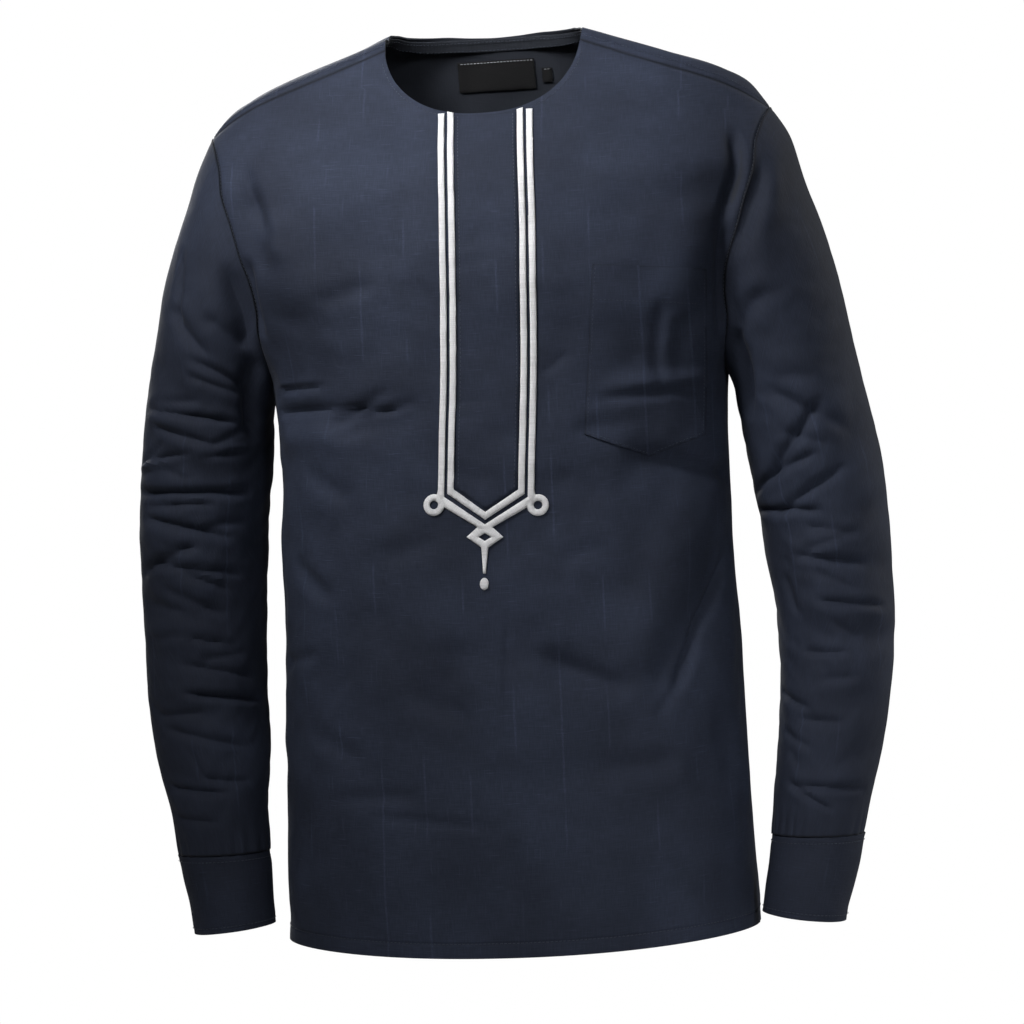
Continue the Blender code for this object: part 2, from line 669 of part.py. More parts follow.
def build_cuff(name, side, rows, finish):
    parts = np.linspace(0, 360 + CUFF_OVERLAP, 37)
    outer, outward = cuff_points(rows, side, parts, [0.0, 0.5, 1.0])
    inner = outer - outward * CUFF_CLOTH
    count = len(parts)
    cells = []
    for i in range(2):
        for k in range(count - 1):
            cell = [i * count + k, (i + 1) * count + k, (i + 1) * count + k + 1, i * count + k + 1]
            cells.append(cell if side > 0 else cell[::-1])
    walled(name, cells, outer.reshape(-1, 3), inner.reshape(-1, 3), finish)


def build_button(name, side, rows, finish):
    """A round button on the middle of a cuff's overlap."""
    at = 360 + CUFF_OVERLAP / 2
    seats, outward = cuff_points(rows, side, [at - 6, at, at + 6], [0.4, 0.5, 0.6])
    normal = Vector(seats[2, 1] - seats[0, 1]).cross(Vector(seats[1, 2] - seats[1, 0])).normalized()
    if normal.dot(Vector(outward[1, 1])) < 0:
        normal = -normal
    middle = Vector(seats[1, 1]) + normal * (LAY_GAP + BUTTON_THICKNESS / 2)
    work = bmesh.new()
    bmesh.ops.create_cone(
        work, cap_ends=True, segments=16, radius1=BUTTON_RADIUS, radius2=BUTTON_RADIUS, depth=BUTTON_THICKNESS
    )
    turn = normal.to_track_quat("Z", "Y").to_matrix().to_4x4()
    bmesh.ops.transform(work, matrix=Matrix.Translation(middle) @ turn, verts=work.verts)
    mesh = bpy.data.meshes.new(name)
    work.to_mesh(mesh)
    work.free()
    made = add_object(name, mesh, finish)
    bevel = made.modifiers.new("Rounded edge", "BEVEL")
    bevel.width = 0.0006
    bevel.segments = 1
    bevel.limit_method = "ANGLE"


def flat_piece(outlines, thickness):
    """A flat cut piece standing in the XZ plane, from closed outlines, inner ones being holes."""
    curve = bpy.data.curves.new("outline", "CURVE")
    curve.dimensions = "2D"
    curve.fill_mode = "BOTH"
    curve.extrude = thickness / 2
    for outline in outlines:
        spline = curve.splines.new("POLY")
        spline.points.add(len(outline) - 1)
        for point, (x, z) in zip(spline.points, outline):
            point.co = (x, z, 0, 1)
        spline.use_cyclic_u = True
    holder = bpy.data.objects.new("outline", curve)
    bpy.context.scene.collection.objects.link(holder)
    bpy.context.view_layer.update()
    mesh = bpy.data.meshes.new_from_object(holder.evaluated_get(bpy.context.evaluated_depsgraph_get()))
    bpy.data.objects.remove(holder)
    bpy.data.curves.remove(curve)
    work = bmesh.new()
    work.from_mesh(mesh)
    bpy.data.meshes.remove(mesh)
    bmesh.ops.remove_doubles(work, verts=work.verts, dist=0.00001)
    bmesh.ops.dissolve_limit(work, angle_limit=0.01, verts=work.verts, edges=work.edges)
    return work


def seat_on(tree, x, z, start_y):
    """Where a line along Y from start_y meets a panel, or the panel's edge near it."""
    hit = tree.ray_cast(Vector((x, start_y, z)), Vector((0.0, 1.0, 0.0)))[0]
    return hit if hit is not None else tree.find_nearest(Vector((x, start_y * 0.12, z)))[0]


def lay_on(name, outlines, thickness, panel, inside, cell, finish):
    """A cut piece laid on a panel's own faces, on its outer side or on its inner side."""
    work = flat_piece(outlines, thickness)
    for axis in (0, 1):
        low = min(v.co[axis] for v in work.verts)
        high = max(v.co[axis] for v in work.verts)
        count = int((high - low) / cell)
        for i in range(1, count + 1):
            cut, normal = [0.0, 0.0, 0.0], [0.0, 0.0, 0.0]
            cut[axis] = low + (high - low) * i / (count + 1)
            normal[axis] = 1.0
            geometry = work.verts[:] + work.edges[:] + work.faces[:]
            bmesh.ops.bisect_plane(work, geom=geometry, dist=0.000001, plane_co=cut, plane_no=normal)
    bmesh.ops.triangulate(work, faces=work.faces[:])
    tree = BVHTree.FromPolygons([v.co for v in panel.data.vertices], [p.vertices for p in panel.data.polygons])
    start_y = 0.0 if inside else -1.0
    side = -1.0 if inside else 1.0
    under = [face for face in work.faces if all(v.co.z < 0 for v in face.verts)]
    places = {v: (round(v.co.x, 6), round(v.co.y, 6)) for v in work.verts}
    for vert in work.verts:
        x, z, level = vert.co
        seat = seat_on(tree, x, z, start_y)
        normal = Vector(form_normal(np.array(seat)))
        vert.co = seat + normal * side * (LAY_GAP + level + thickness / 2)
    for _ in range(SETTLING_PASSES):
        lifts = {}
        for face in under:
            corners = list(face.verts)
            for chosen in (corners, corners[:2], corners[1:], corners[::2]):
                middle = sum((v.co for v in chosen), Vector()) / len(chosen)
                short = LAY_GAP * 0.9 - (seat_on(tree, middle.x, middle.z, start_y).y - middle.y)
                for v in chosen:
                    lifts[places[v]] = max(lifts.get(places[v], 0.0), short)
        for vert in work.verts:
            vert.co.y -= lifts.get(places[vert], 0.0)
    if work.calc_volume(signed=True) < 0:
        bmesh.ops.reverse_faces(work, faces=work.faces[:])
    mesh = bpy.data.meshes.new(name)
    work.to_mesh(mesh)
    work.free()
    return add_object(name, mesh, finish)


def leaned(outline):
    """Points given from the ornament's axis, moved to it and tilted with it below the neckline."""
    placed = []
    for x, z in outline:
        tilt = TRIM_TILT if z < -NECK_FRONT_DROP - 0.01 else 0.0
        placed.append((x + float(smooth_table(TRIM_AXIS, z, 1)), z - tilt * x))
    return placed


def neck_edge_z(x):
    """Height of the front neckline at x from the ornament's axis, a little inside the cloth's edge."""
    share = (abs(x + TRIM_AXIS[-1][1]) / NECK_HALF_WIDTH) ** ROUNDNESS
    return -NECK_FRONT_DROP * (1 - share) ** (1 / ROUNDNESS) - NECK_EDGE_MARGIN


def arc(middle, radius, start, end, count):
    """Points on an arc, angles in degrees."""
    angles = np.radians(np.linspace(start, end, count))
    return [(middle[0] + radius * math.cos(a), middle[1] + radius * math.sin(a)) for a in angles]


def band_side(x, top, foot):
    """Points down one edge of a band, so that it can follow the axis."""
    return [(x, z) for z in np.linspace(top, foot, BAND_POINTS)]


def trim_outer_outlines():
    """Outer band with its loops, point, diamond and stem, and the three holes."""
    inner_x = TRIM_OUTER - TRIM_BAND
    loop = (TRIM_LOOP_X, TRIM_LOOP_Z)
    turn_z = TRIM_TURN_Z - 0.0030
    arm_drop = TRIM_BAND * 1.2
    joint_x = DIAMOND_HALF_WIDTH * 0.42
    joint_z = TRIM_POINT_Z + (turn_z - TRIM_POINT_Z) * joint_x / inner_x - arm_drop
    stem_z = DIAMOND_Z - DIAMOND_HALF_HEIGHT * (1 - STEM_HALF_WIDTH / DIAMOND_HALF_WIDTH)
    top = neck_edge_z(TRIM_INNER)
    outside = band_side(TRIM_OUTER, top, TRIM_LOOP_Z + TRIM_LOOP_RADIUS + 0.004)
    outside += arc(loop, TRIM_LOOP_RADIUS, 105, -168, 16)
    outside += [(joint_x, joint_z), (DIAMOND_HALF_WIDTH, DIAMOND_Z)]
    outside += [(STEM_HALF_WIDTH, stem_z), (STEM_FOOT_HALF_WIDTH, STEM_FOOT_Z)]
    inside = band_side(inner_x, top, turn_z)
    outline = [(-x, z) for x, z in outside] + outside[::-1] + inside + [(0.0, TRIM_POINT_Z)]
    outline += [(-x, z) for x, z in inside[::-1]]
    right_hole = arc(loop, TRIM_LOOP_HOLE, 0, 324, 10)
    left_hole = [(-x, z) for x, z in right_hole]
    across, up = DIAMOND_HOLE
    diamond = [(across, DIAMOND_Z), (0, DIAMOND_Z + up), (-across, DIAMOND_Z), (0, DIAMOND_Z - up)]
    return [leaned(outline), leaned(right_hole), leaned(left_hole), leaned(diamond)]


def trim_inner_outlines():
    """Inner band with its point."""
    outer_x, inner_x = TRIM_INNER + TRIM_BAND, TRIM_INNER
    turn_in, turn_out = TRIM_TURN_Z + 0.0030, TRIM_TURN_Z - 0.0005
    point_in = TRIM_POINT_Z + 0.0100
    point_out = point_in - TRIM_BAND * 1.2
    near = band_side(inner_x, neck_edge_z(inner_x), turn_in)
    far = band_side(outer_x, neck_edge_z(outer_x), turn_out)
    outline = [(-x, z) for x, z in far] + [(0.0, point_out)] + far[::-1] + near + [(0.0, point_in)]
    outline += [(-x, z) for x, z in near[::-1]]
    return [leaned(outline)]


def placket_outlines():
    """Placket strip from the neckline to its pointed foot."""
    half = PLACKET_HALF_WIDTH
    top = [(x, neck_edge_z(x)) for x in np.linspace(-half, half, 7)]
    side = band_side(half, neck_edge_z(half), TRIM_TURN_Z + 0.0045)[1:]
    foot = [(0.0, PLACKET_POINT_Z)]
    return [leaned(top + side + foot + [(-x, z) for x, z in side[::-1]])]


def build_neck_band(name, sheet, finish):
    """Narrow band inside the back of the neck, on the back panel's own points."""
    corner = BODY_ROWS + CHEST_ROWS
    half = []
    for row in range(corner + SEAM_ROWS_BACK, corner, -1):
        half.append(((row, NECK_COLUMNS), (row, NECK_COLUMNS + 1)))
    half.append(((corner, NECK_COLUMNS), (corner - 1, NECK_COLUMNS + 1)))
    for j in range(NECK_COLUMNS - 1, 0, -1):
        half.append(((corner, j), (corner - 1, j)))
    mirrored = [((a[0], -a[1]), (b[0], -b[1])) for a, b in half]
    route = mirrored + [((corner, 0), (corner - 1, 0))] + half[::-1]
    near, far = [], []
    for reach in (BAND_MARGIN, BAND_MARGIN + BAND_HEIGHT):
        for edge, below in route:
            (p, inward), (q, inward_below) = sheet[edge], sheet[below]
            part = reach / np.linalg.norm(q - p)
            seat = p + (q - p) * part
            direction = inward + (inward_below - inward) * part
            near.append(seat + direction * (CLOTH + BAND_GAP))
            far.append(seat + direction * (CLOTH + BAND_GAP + PIECE_CLOTH))
    count = len(route)
    cells = [[k, k + 1, count + k + 1, count + k] for k in range(count - 1)]
    walled(name, cells, near, far, finish)


def box_outline(left, right, foot, top):
    return [[(left, foot), (right, foot), (right, top), (left, top)]]


def build_shirt():
    for old in list(bpy.data.objects):
        bpy.data.objects.remove(old, do_unlink=True)
    collection = bpy.data.collections.new("linen_shirt")
    bpy.context.scene.collection.children.link(collection)
    linen = material("navy_linen", NAVY, 0.85)
    dark = material("dark_facing", NAVY_DARK, 0.85)
    thread = material("white_thread", WHITE_THREAD, 0.45)
    woven = material("black_woven", BLACK_WOVEN, 0.6)
    plastic = material("navy_plastic", NAVY_DARK, 0.35)

    front, front_edges, _ = build_panel("front", False, linen)
    back, back_edges, back_sheet = build_panel("back", True, linen)
    plans = (
        ("left", 1, LEFT_SLEEVE, LEFT_FOLDS, LEFT_CUFF),
        ("right", -1, RIGHT_SLEEVE, RIGHT_FOLDS, RIGHT_CUFF),
    )
    for word, side, rows, folds, cuff in plans:
        edge = front_edges[side] + back_edges[side][-2:0:-1]
        build_sleeve(f"sleeve_{word}", side, rows, folds, edge, linen)
        build_cuff(f"cuff_{word}", side, cuff, linen)
        build_button(f"cuff_button_{word}", side, cuff, plastic)

    lay_on("placket", placket_outlines(), PIECE_CLOTH, front, False, PIECE_CELL, linen)
    pocket = [POCKET_TOP_LEFT, POCKET_FOOT_LEFT, POCKET_POINT, POCKET_FOOT_RIGHT, POCKET_TOP_RIGHT]
    lay_on("pocket", [pocket], PIECE_CLOTH, front, False, PIECE_CELL, linen)
    lay_on("trim_outer", trim_outer_outlines(), TRIM_RELIEF, front, False, TRIM_CELL, thread)
    lay_on("trim_inner", trim_inner_outlines(), TRIM_RELIEF, front, False, TRIM_CELL, thread)
    turns = np.linspace(0, math.tau, 13)[:-1]
    drop = [(DROP_SIZE[0] * math.cos(a), DROP_Z + DROP_SIZE[1] * math.sin(a)) for a in turns]
    lay_on("trim_drop", [leaned(drop)], TRIM_RELIEF, front, False, TRIM_CELL, thread)

    build_neck_band("neck_band", back_sheet, dark)
    label = box_outline(-LABEL_HALF_WIDTH, LABEL_HALF_WIDTH, LABEL_FOOT_Z, LABEL_TOP_Z)
    lay_on("neck_label", label, SMALL_CLOTH, back, True, PIECE_CELL, woven)
    tab = box_outline(TAB_MIDDLE_X - TAB_HALF_WIDTH, TAB_MIDDLE_X + TAB_HALF_WIDTH, TAB_FOOT_Z, TAB_TOP_Z)
    lay_on("size_tab", tab, SMALL_CLOTH, back, True, PIECE_CELL, woven)


build_shirt()
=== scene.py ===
"""Dressed linen shirt: fine cloth, stitching, ornament, label, buttons, studio light and camera.

Metres, the part's own frame: +Z up, the front faces -Y and +X is the wearer's left.
"""

import functools
import math

import bmesh
import bpy
import numpy as np
from mathutils import Matrix, Vector
from mathutils.bvhtree import BVHTree


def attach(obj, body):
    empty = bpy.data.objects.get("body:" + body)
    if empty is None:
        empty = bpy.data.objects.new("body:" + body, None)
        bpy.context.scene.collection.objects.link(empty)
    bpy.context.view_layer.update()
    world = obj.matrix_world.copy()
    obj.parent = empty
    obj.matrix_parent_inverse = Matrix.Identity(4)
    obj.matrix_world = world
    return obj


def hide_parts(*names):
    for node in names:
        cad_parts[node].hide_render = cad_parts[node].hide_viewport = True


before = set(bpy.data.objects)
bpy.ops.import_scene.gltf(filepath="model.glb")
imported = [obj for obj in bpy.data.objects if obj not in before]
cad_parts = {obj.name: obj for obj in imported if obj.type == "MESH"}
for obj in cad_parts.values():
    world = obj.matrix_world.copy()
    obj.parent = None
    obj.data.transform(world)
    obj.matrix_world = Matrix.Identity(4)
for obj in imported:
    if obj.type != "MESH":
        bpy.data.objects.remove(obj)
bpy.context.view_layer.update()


def millimetres(*rows):
    """Rows of a table given in millimetres, in metres."""
    return [tuple(value / 1000 for value in row) for row in rows]


def round_sleeve(*rows):
    """Folds of a sleeve given in millimetres with their two angles in degrees, lengths in metres."""
    return [
        (z0 / 1000, turn0, z1 / 1000, turn1, half_width / 1000, height / 1000)
        for z0, turn0, z1, turn1, half_width, height in rows
    ]


# Lengths are in metres, but for the tables. Angles of the body panels are in degrees.

CLOTH = 0.0015
LAY_GAP = 0.0005
ROUNDNESS = 2.3
BODY_RADIUS = 0.165
SLEEVE_RADIUS = 0.052

UNDERARM_Z = -0.290
SHOULDER_TIP_Z = -0.075
ARMHOLE_FRONT = 0.067
ARMHOLE_BACK = 0.075
NECK_HALF_WIDTH = 0.0825
NECK_FRONT_DROP = 0.0737
NECK_BACK_REACH = 0.060
HEM_FRONT_Z = -0.760
HEM_SIDE_Z = -0.751

# Body form: height, half width, depth in front, depth behind.
BODY_FORM = millimetres(
    (-780, 199, 125, 118), (-620, 194, 124, 115), (-500, 191.2, 122, 110), (-420, 188.5, 120, 108),
    (-340, 188.5, 119, 109), (-290, 191.5, 118, 111), (-250, 210, 117.5, 111), (-200, 233, 115, 110),
    (-160, 250, 108, 107), (-130, 257, 99, 102), (-100, 251, 83, 94), (-75, 235.5, 66.2, 85),
    (-54, 217.5, 57.5, 78), (-42, 199, 52, 74.5), (-23, 152, 44, 69), (-10, 112, 38, 64.5),
    (0, 82.5, 33, 61), (5, 67, 30, 60), (30, 10, 15, 40),
)

# Sleeve sections: inner edge x and z, outer edge x and z, depth in front, behind, and y of the middle.
LEFT_SLEEVE = millimetres(
    (191.5, -290, 235.5, -75, 67, 75, 0), (194, -295, 250, -100, 67.5, 74.5, 0),
    (196.2, -301.5, 260, -137, 68, 73, 0), (198, -309, 273, -176, 67.5, 71.5, 1),
    (199.6, -318, 283, -215, 67, 70, 2), (201, -330, 291.5, -257, 66, 68, 3),
    (202.7, -345, 300, -302, 65, 67, 4), (205, -363, 309, -345, 64, 66, 5),
    (208.5, -385, 314.5, -380, 63, 64, 5), (213.7, -420, 317.1, -420, 61, 62, 5),
    (219, -460, 318.4, -462, 58, 59, 4), (223.5, -502, 318.5, -502, 55, 56, 2),
    (224.8, -534, 316.4, -534, 53, 54, -1), (223.2, -570, 311.2, -570, 50, 51, -6),
    (220.2, -605, 304.6, -605, 47, 48, -12), (216, -640, 295.2, -640, 43, 44, -18),
    (212.5, -676.2, 285, -677.8, 36.5, 36.5, -24),
)
RIGHT_SLEEVE = millimetres(
    (191.5, -290, 235.5, -75, 67, 75, 0), (193.8, -295, 249, -104, 67.5, 74.5, 0),
    (195.6, -301.5, 259, -135, 68, 73, 0), (197.2, -309, 271, -167, 67.5, 71.5, 1),
    (198.5, -318, 282, -203, 67, 70, 2), (199.6, -330, 291.2, -245, 66, 68, 3),
    (200.8, -345, 300, -290, 65, 67, 4), (202.5, -363, 307, -340, 64, 66, 5),
    (204.8, -385, 310.8, -380, 63, 64, 5), (208.2, -420, 313.2, -420, 61, 62, 5),
    (210.8, -469, 312.5, -469, 58, 59, 4), (212.5, -518, 311.2, -518, 55, 56, 1),
    (212.2, -548, 309.5, -548, 52.5, 53.5, -3), (211.6, -578, 306.5, -578, 50, 51, -7),
    (211.3, -608, 300.5, -608, 47, 48, -12), (212, -640, 292, -640, 43, 44, -18),
    (211.5, -676.2, 285.5, -677.2, 36.5, 36.5, -24),
)

# Cuff sections, top then foot, with the columns of the sleeves.
LEFT_CUFF = millimetres(
    (211.5, -676.8, 286.2, -678.4, 37.6, 37.6, -24), (201, -738.5, 267.5, -748.5, 34, 34, -34),
)
RIGHT_CUFF = millimetres(
    (210.5, -676.8, 286.5, -677.8, 37.6, 37.6, -24), (206, -736.5, 273, -743.5, 33.8, 33.8, -34),
)
CUFF_CLOTH = 0.0022
CUFF_OVERLAP_AT = 232.0
CUFF_OVERLAP = 32.0
BUTTON_RADIUS = 0.0055
BUTTON_THICKNESS = 0.0024

# Folds of the body, as seen from in front or behind: start x and z, end x and z, half width, height
# above the cloth (a trough is negative). Tables of sizes are in millimetres.
FRONT_FOLDS = millimetres(
    (-196, -128, -176, -205, 14, -6), (-172, -150, -152, -230, 20, 4), (196, -130, 178, -255, 15, -6.5),
    (168, -150, 150, -250, 20, 4), (-180, -308, -70, -322, 12, -4.5), (-178, -332, -112, -338, 12, 3.5),
    (182, -430, 118, -562, 16, -6), (150, -415, 88, -560, 20, 4), (40, -525, 115, -540, 18, -4),
    (-155, -520, -130, -545, 20, -3.5), (110, -365, 178, -380, 16, -4),
)
BACK_FOLDS = millimetres(
    (-196, -130, -178, -250, 16, -6), (196, -130, 178, -250, 16, -6), (-168, -150, -150, -260, 22, 3.5),
    (168, -150, 150, -260, 22, 3.5), (-120, -420, 20, -455, 18, -5), (130, -470, 10, -505, 18, -4.5),
    (-60, -560, -80, -720, 20, -4), (70, -580, 85, -735, 20, -4),
)

# Folds of a sleeve: start height and angle, end height and angle, half width, height above the
# cloth. The angle is 0 at the inner edge, 90 in front, 180 at the outer edge and 270 behind.
LEFT_FOLDS = round_sleeve(
    (-330, 150, -430, 60, 13, -6), (-385, 165, -455, 70, 12, 5), (-402, 175, -432, 60, 11, -5.5),
    (-462, 180, -452, 70, 11, -5), (-500, 165, -488, 60, 11, 4), (-520, 190, -512, 60, 11, -5.5),
    (-558, 140, -592, 55, 12, -5), (-604, 185, -622, 60, 11, -4.5), (-655, 175, -645, 70, 10, -3.5),
    (-340, 215, -420, 310, 14, -6), (-415, 200, -460, 300, 12, -5), (-480, 210, -500, 315, 12, -5.5),
    (-540, 200, -560, 300, 12, -5), (-610, 205, -600, 300, 12, -4.5),
)
RIGHT_FOLDS = round_sleeve(
    (-262, 150, -318, 60, 13, -5), (-300, 150, -350, 70, 13, 5), (-318, 150, -372, 60, 11, -5.5),
    (-375, 150, -398, 60, 11, -5), (-400, 150, -440, 60, 11, 4.5), (-470, 150, -476, 60, 11, -5.5),
    (-505, 150, -520, 60, 11, -4.5), (-560, 150, -560, 60, 11, -5.5), (-612, 150, -618, 60, 12, -5),
    (-648, 150, -644, 70, 10, -3.5), (-330, 215, -410, 310, 14, -6), (-425, 212, -450, 300, 12, -5),
    (-490, 212, -505, 315, 12, -5.5), (-550, 212, -565, 300, 12, -5), (-615, 212, -605, 300, 12, -4.5),
)

NECK_COLUMNS = 4
SIDE_COLUMNS = 8
BODY_ROWS = 18
CHEST_ROWS = 10
SEAM_ROWS_FRONT = 2
SEAM_ROWS_BACK = 3
SLEEVE_RINGS = 28
NECK_CORNER_FRONT = 78.5
NECK_CORNER_BACK = 84.0
SEAM_AT_NECK = 83.6
SEAM_AT_TIP = 88.5
SEAM_DIP = 3.4

NECK_EDGE_MARGIN = 0.0025

# The front ornament's axis, which leans: height and x.
TRIM_AXIS = millimetres(
    (-470, -7), (-420, -4.6), (-384, -2.3), (-355, -0.4), (-280, 4), (-200, 6.6), (-160, 6.9), (-70, 4),
)
TRIM_TILT = 0.044
TRIM_BAND = 0.0053
TRIM_OUTER = 0.0390
TRIM_INNER = 0.0260
TRIM_TURN_Z = -0.386
TRIM_LOOP_X = 0.0420
TRIM_LOOP_Z = -0.3955
TRIM_LOOP_RADIUS = 0.0088
TRIM_LOOP_HOLE = 0.0035
TRIM_POINT_Z = -0.4110
DIAMOND_Z = -0.4212
DIAMOND_HALF_WIDTH = 0.0149
DIAMOND_HALF_HEIGHT = 0.0105
DIAMOND_HOLE = (0.0052, 0.0031)
STEM_HALF_WIDTH = 0.0029
STEM_FOOT_HALF_WIDTH = 0.0011
STEM_FOOT_Z = -0.4505
DROP_Z = -0.4588
DROP_SIZE = (0.0036, 0.0049)
PLACKET_HALF_WIDTH = 0.0245
PLACKET_POINT_Z = -0.3985
PIECE_CLOTH = 0.0010

POCKET_TOP_LEFT = (0.0905, -0.2055)
POCKET_TOP_RIGHT = (0.1800, -0.2120)
POCKET_FOOT_LEFT = (0.0785, -0.3420)
POCKET_FOOT_RIGHT = (0.1720, -0.3460)
POCKET_POINT = (0.1280, -0.3620)

BAND_HEIGHT = 0.011
BAND_MARGIN = 0.0008
BAND_GAP = 0.0018
LABEL_HALF_WIDTH = 0.0335
LABEL_TOP_Z = -0.0130
LABEL_FOOT_Z = -0.0380
TAB_MIDDLE_X = 0.0440
TAB_HALF_WIDTH = 0.0045
TAB_TOP_Z = -0.0215
TAB_FOOT_Z = -0.0335
BAND_POINTS = 13

# Finer creases of the front, as seen from in front, in the same columns.
FRONT_CREASES = millimetres(
    (-198, -111, -174, -170, 9, -3.5), (-183, -136, -164, -190, 12, 2.5),
    (-199, -186, -191, -246, 9, -4), (-179, -293, -136, -293, 4.5, -2.2),
    (-182, -311, -128, -311, 4.5, -2.4), (-128, -311, -72, -316, 4, -2),
    (-109, -322, -58, -310, 4.5, -2), (-127, -337, -93, -326, 9, -2.6),
    (-137, -225, -89, -212, 11, -2.4), (-132, -329, -80, -299, 7, -2),
    (-183, -520, -150, -512, 8, -2.2), (184, -449, 162, -498, 7, -3.2), (164, -493, 141, -553, 6, -3.6),
    (141, -552, 126, -571, 6, -2.6), (30, -517, 103, -551, 14, -3.2), (120, -360, 188, -382, 10, -3),
    (58, -370, 88, -395, 12, -2), (-108, -643, -12, -655, 6, -1.4), (-143, -630, -67, -628, 9, -1.6),
    (11, -477, 5, -585, 3.5, -0.9), (-27, -188, 6, -180, 4, -1.2), (-26, -204, 12, -195, 4, -1.2),
    (-21, -230, -1, -227, 4, -1), (-32, -314, 12, -310, 4, -1.3), (-31, -326, 8, -321, 4, -1),
    (-32, -265, -4, -272, 5, -0.9), (142, -238, 140, -306, 7, -1.8), (158, -250, 157, -296, 15, -1.8),
    (90, -314.2, 170, -308, 5.5, -2), (98, -303, 175, -297.5, 8, 1.6), (47, -292, 68, -276, 5, -1.6),
    (41, -309, 62, -301, 5, -1.2), (71, -338, 122, -332, 10, -1.8), (205, -98, 198, -172, 9, -4.2),
    (197, -172, 187, -262, 10, -4.6), (-125, -98, -94, -97, 8, -1.4), (91, -111, 131, -134, 9, -1.4),
    (-156, -360, -115, -387, 12, -2.2), (-92, -436, -42, -422, 14, -2),
    (-171, -434, -138, -467, 12, -2.4), (55, -442, 95, -432, 12, -1.8),
    (-80, -542, -23, -568, 14, -1.6), (80, -612, 142, -608, 14, -2), (-162, -574, -117, -598, 12, -1.8),
    (-39, -366, 9, -376, 10, -1.2), (-33, -503, -39, -567, 10, -1.2),
)
# Finer creases of the sleeves: start height and angle, end height and angle, half width, height.
RIGHT_CREASES = round_sleeve(
    (-219, 132, -265, 82, 7, -2.6), (-229, 95, -256, 59, 6, -2.6), (-263, 101, -290, 45, 6, -3.2),
    (-277, 101, -295, 49, 5, -2.6), (-298, 143, -299, 88, 6, -2.2), (-316, 136, -336, 71, 6, -3),
    (-336, 73, -319, 39, 6, -2.6), (-346, 138, -341, 45, 5, -2.8), (-372, 159, -376, 38, 6, -3.4),
    (-384, 141, -384, 68, 5, -2.2), (-393, 140, -413, 53, 6, -3), (-432, 130, -443, 41, 5, -2.2),
    (-440, 101, -455, 56, 5, -3), (-465, 132, -473, 97, 5, -2.2), (-454, 114, -477, 58, 6, -2.2),
    (-495, 94, -503, 48, 5, -3), (-517, 101, -530, 30, 5, -1.8), (-541, 101, -550, 18, 5, -3.4),
    (-588, 101, -612, 91, 5, -2.6), (-612, 93, -617, 42, 5, -2.6), (-620, 141, -625, 67, 5, -2.4),
    (-645, 140, -649, 82, 5, -2), (-570, 128, -588, 41, 6, -2), (-354, 117, -364, 92, 5, -2),
    (-405, 84, -399, 38, 6, -2.4), (-417, 118, -421, 80, 5, -1.8), (-514, 84, -509, 38, 5, -2),
    (-496, 141, -492, 93, 5, -1.8), (-560, 138, -557, 82, 5, -1.8), (-190, 92, -262, 52, 11, -5),
    (-262, 50, -330, 34, 12, -5), (-172, 138, -236, 118, 4.5, -2.4), (-302, 150, -318, 50, 4.8, -2.6),
    (-352, 158, -330, 118, 4.2, -2.2), (-352, 160, -338, 42, 4.6, 2.6), (-440, 150, -418, 84, 7, -3),
)
LEFT_CREASES = round_sleeve(
    (-123, 124, -187, 87, 8, -4), (-111, 132, -197, 82, 9, -3.6), (-229, 88, -271, 41, 8, -3),
    (-157, 109, -239, 81, 14, 2), (-304, 69, -300, 109, 9, -2), (-311, 62, -343, 123, 9, -2.2),
    (-322, 108, -385, 43, 7, -3.4), (-394, 13, -363, 96, 6, -2.4), (-413, 45, -376, 117, 6, -2.6),
    (-409, 11, -411, 90, 5, -2.8), (-425, 73, -430, 117, 5, -2.4), (-448, 58, -455, 125, 5, -3),
    (-446, 62, -429, 119, 5, -2), (-461, 75, -477, 113, 5, -2.2), (-485, 75, -492, 146, 5, -2.6),
    (-463, 43, -496, 53, 6, -2.6), (-527, 56, -528, 104, 5, -2.6), (-559, 18, -573, 65, 5, -2.4),
    (-581, 54, -585, 103, 5, -2.2), (-591, 31, -605, 69, 5, -2.4), (-634, 45, -640, 146, 5, -2.2),
    (-635, 50, -656, 104, 4, -2.4), (-516, 42, -525, 50, 6, -2), (-605, 42, -619, 56, 6, -2),
    (-501, 85, -519, 117, 6, -2), (-345, 65, -359, 108, 7, -1.8), (-448, 47, -456, 50, 5, -1.8),
    (-550, 74, -548, 115, 6, -2), (-175, 84, -255, 52, 11, -5), (-262, 48, -330, 34, 11, -4.4),
)
# Finer creases of the back, as seen from in front with x towards the wearer's left.
BACK_CREASES = millimetres(
    (-190, -150, -172, -235, 8, -3.4), (192, -145, 176, -230, 8, -3.4),
    (-150, -250, -80, -285, 7, -2.2), (165, -300, 70, -330, 6, -2.4), (-176, -345, -60, -372, 6, -2.6),
    (168, -372, 96, -378, 5, -2), (-120, -420, -20, -436, 7, -2.2), (150, -455, 50, -500, 7, -2.6),
    (-170, -485, -110, -520, 8, -2.2), (20, -520, -60, -560, 12, -2.6), (165, -560, 120, -640, 7, -2.8),
    (-150, -590, -128, -680, 8, -2.4), (-20, -640, 0, -720, 10, -1.8), (60, -180, 30, -250, 12, -1.6),
    (-60, -130, -30, -200, 12, -1.4),
)
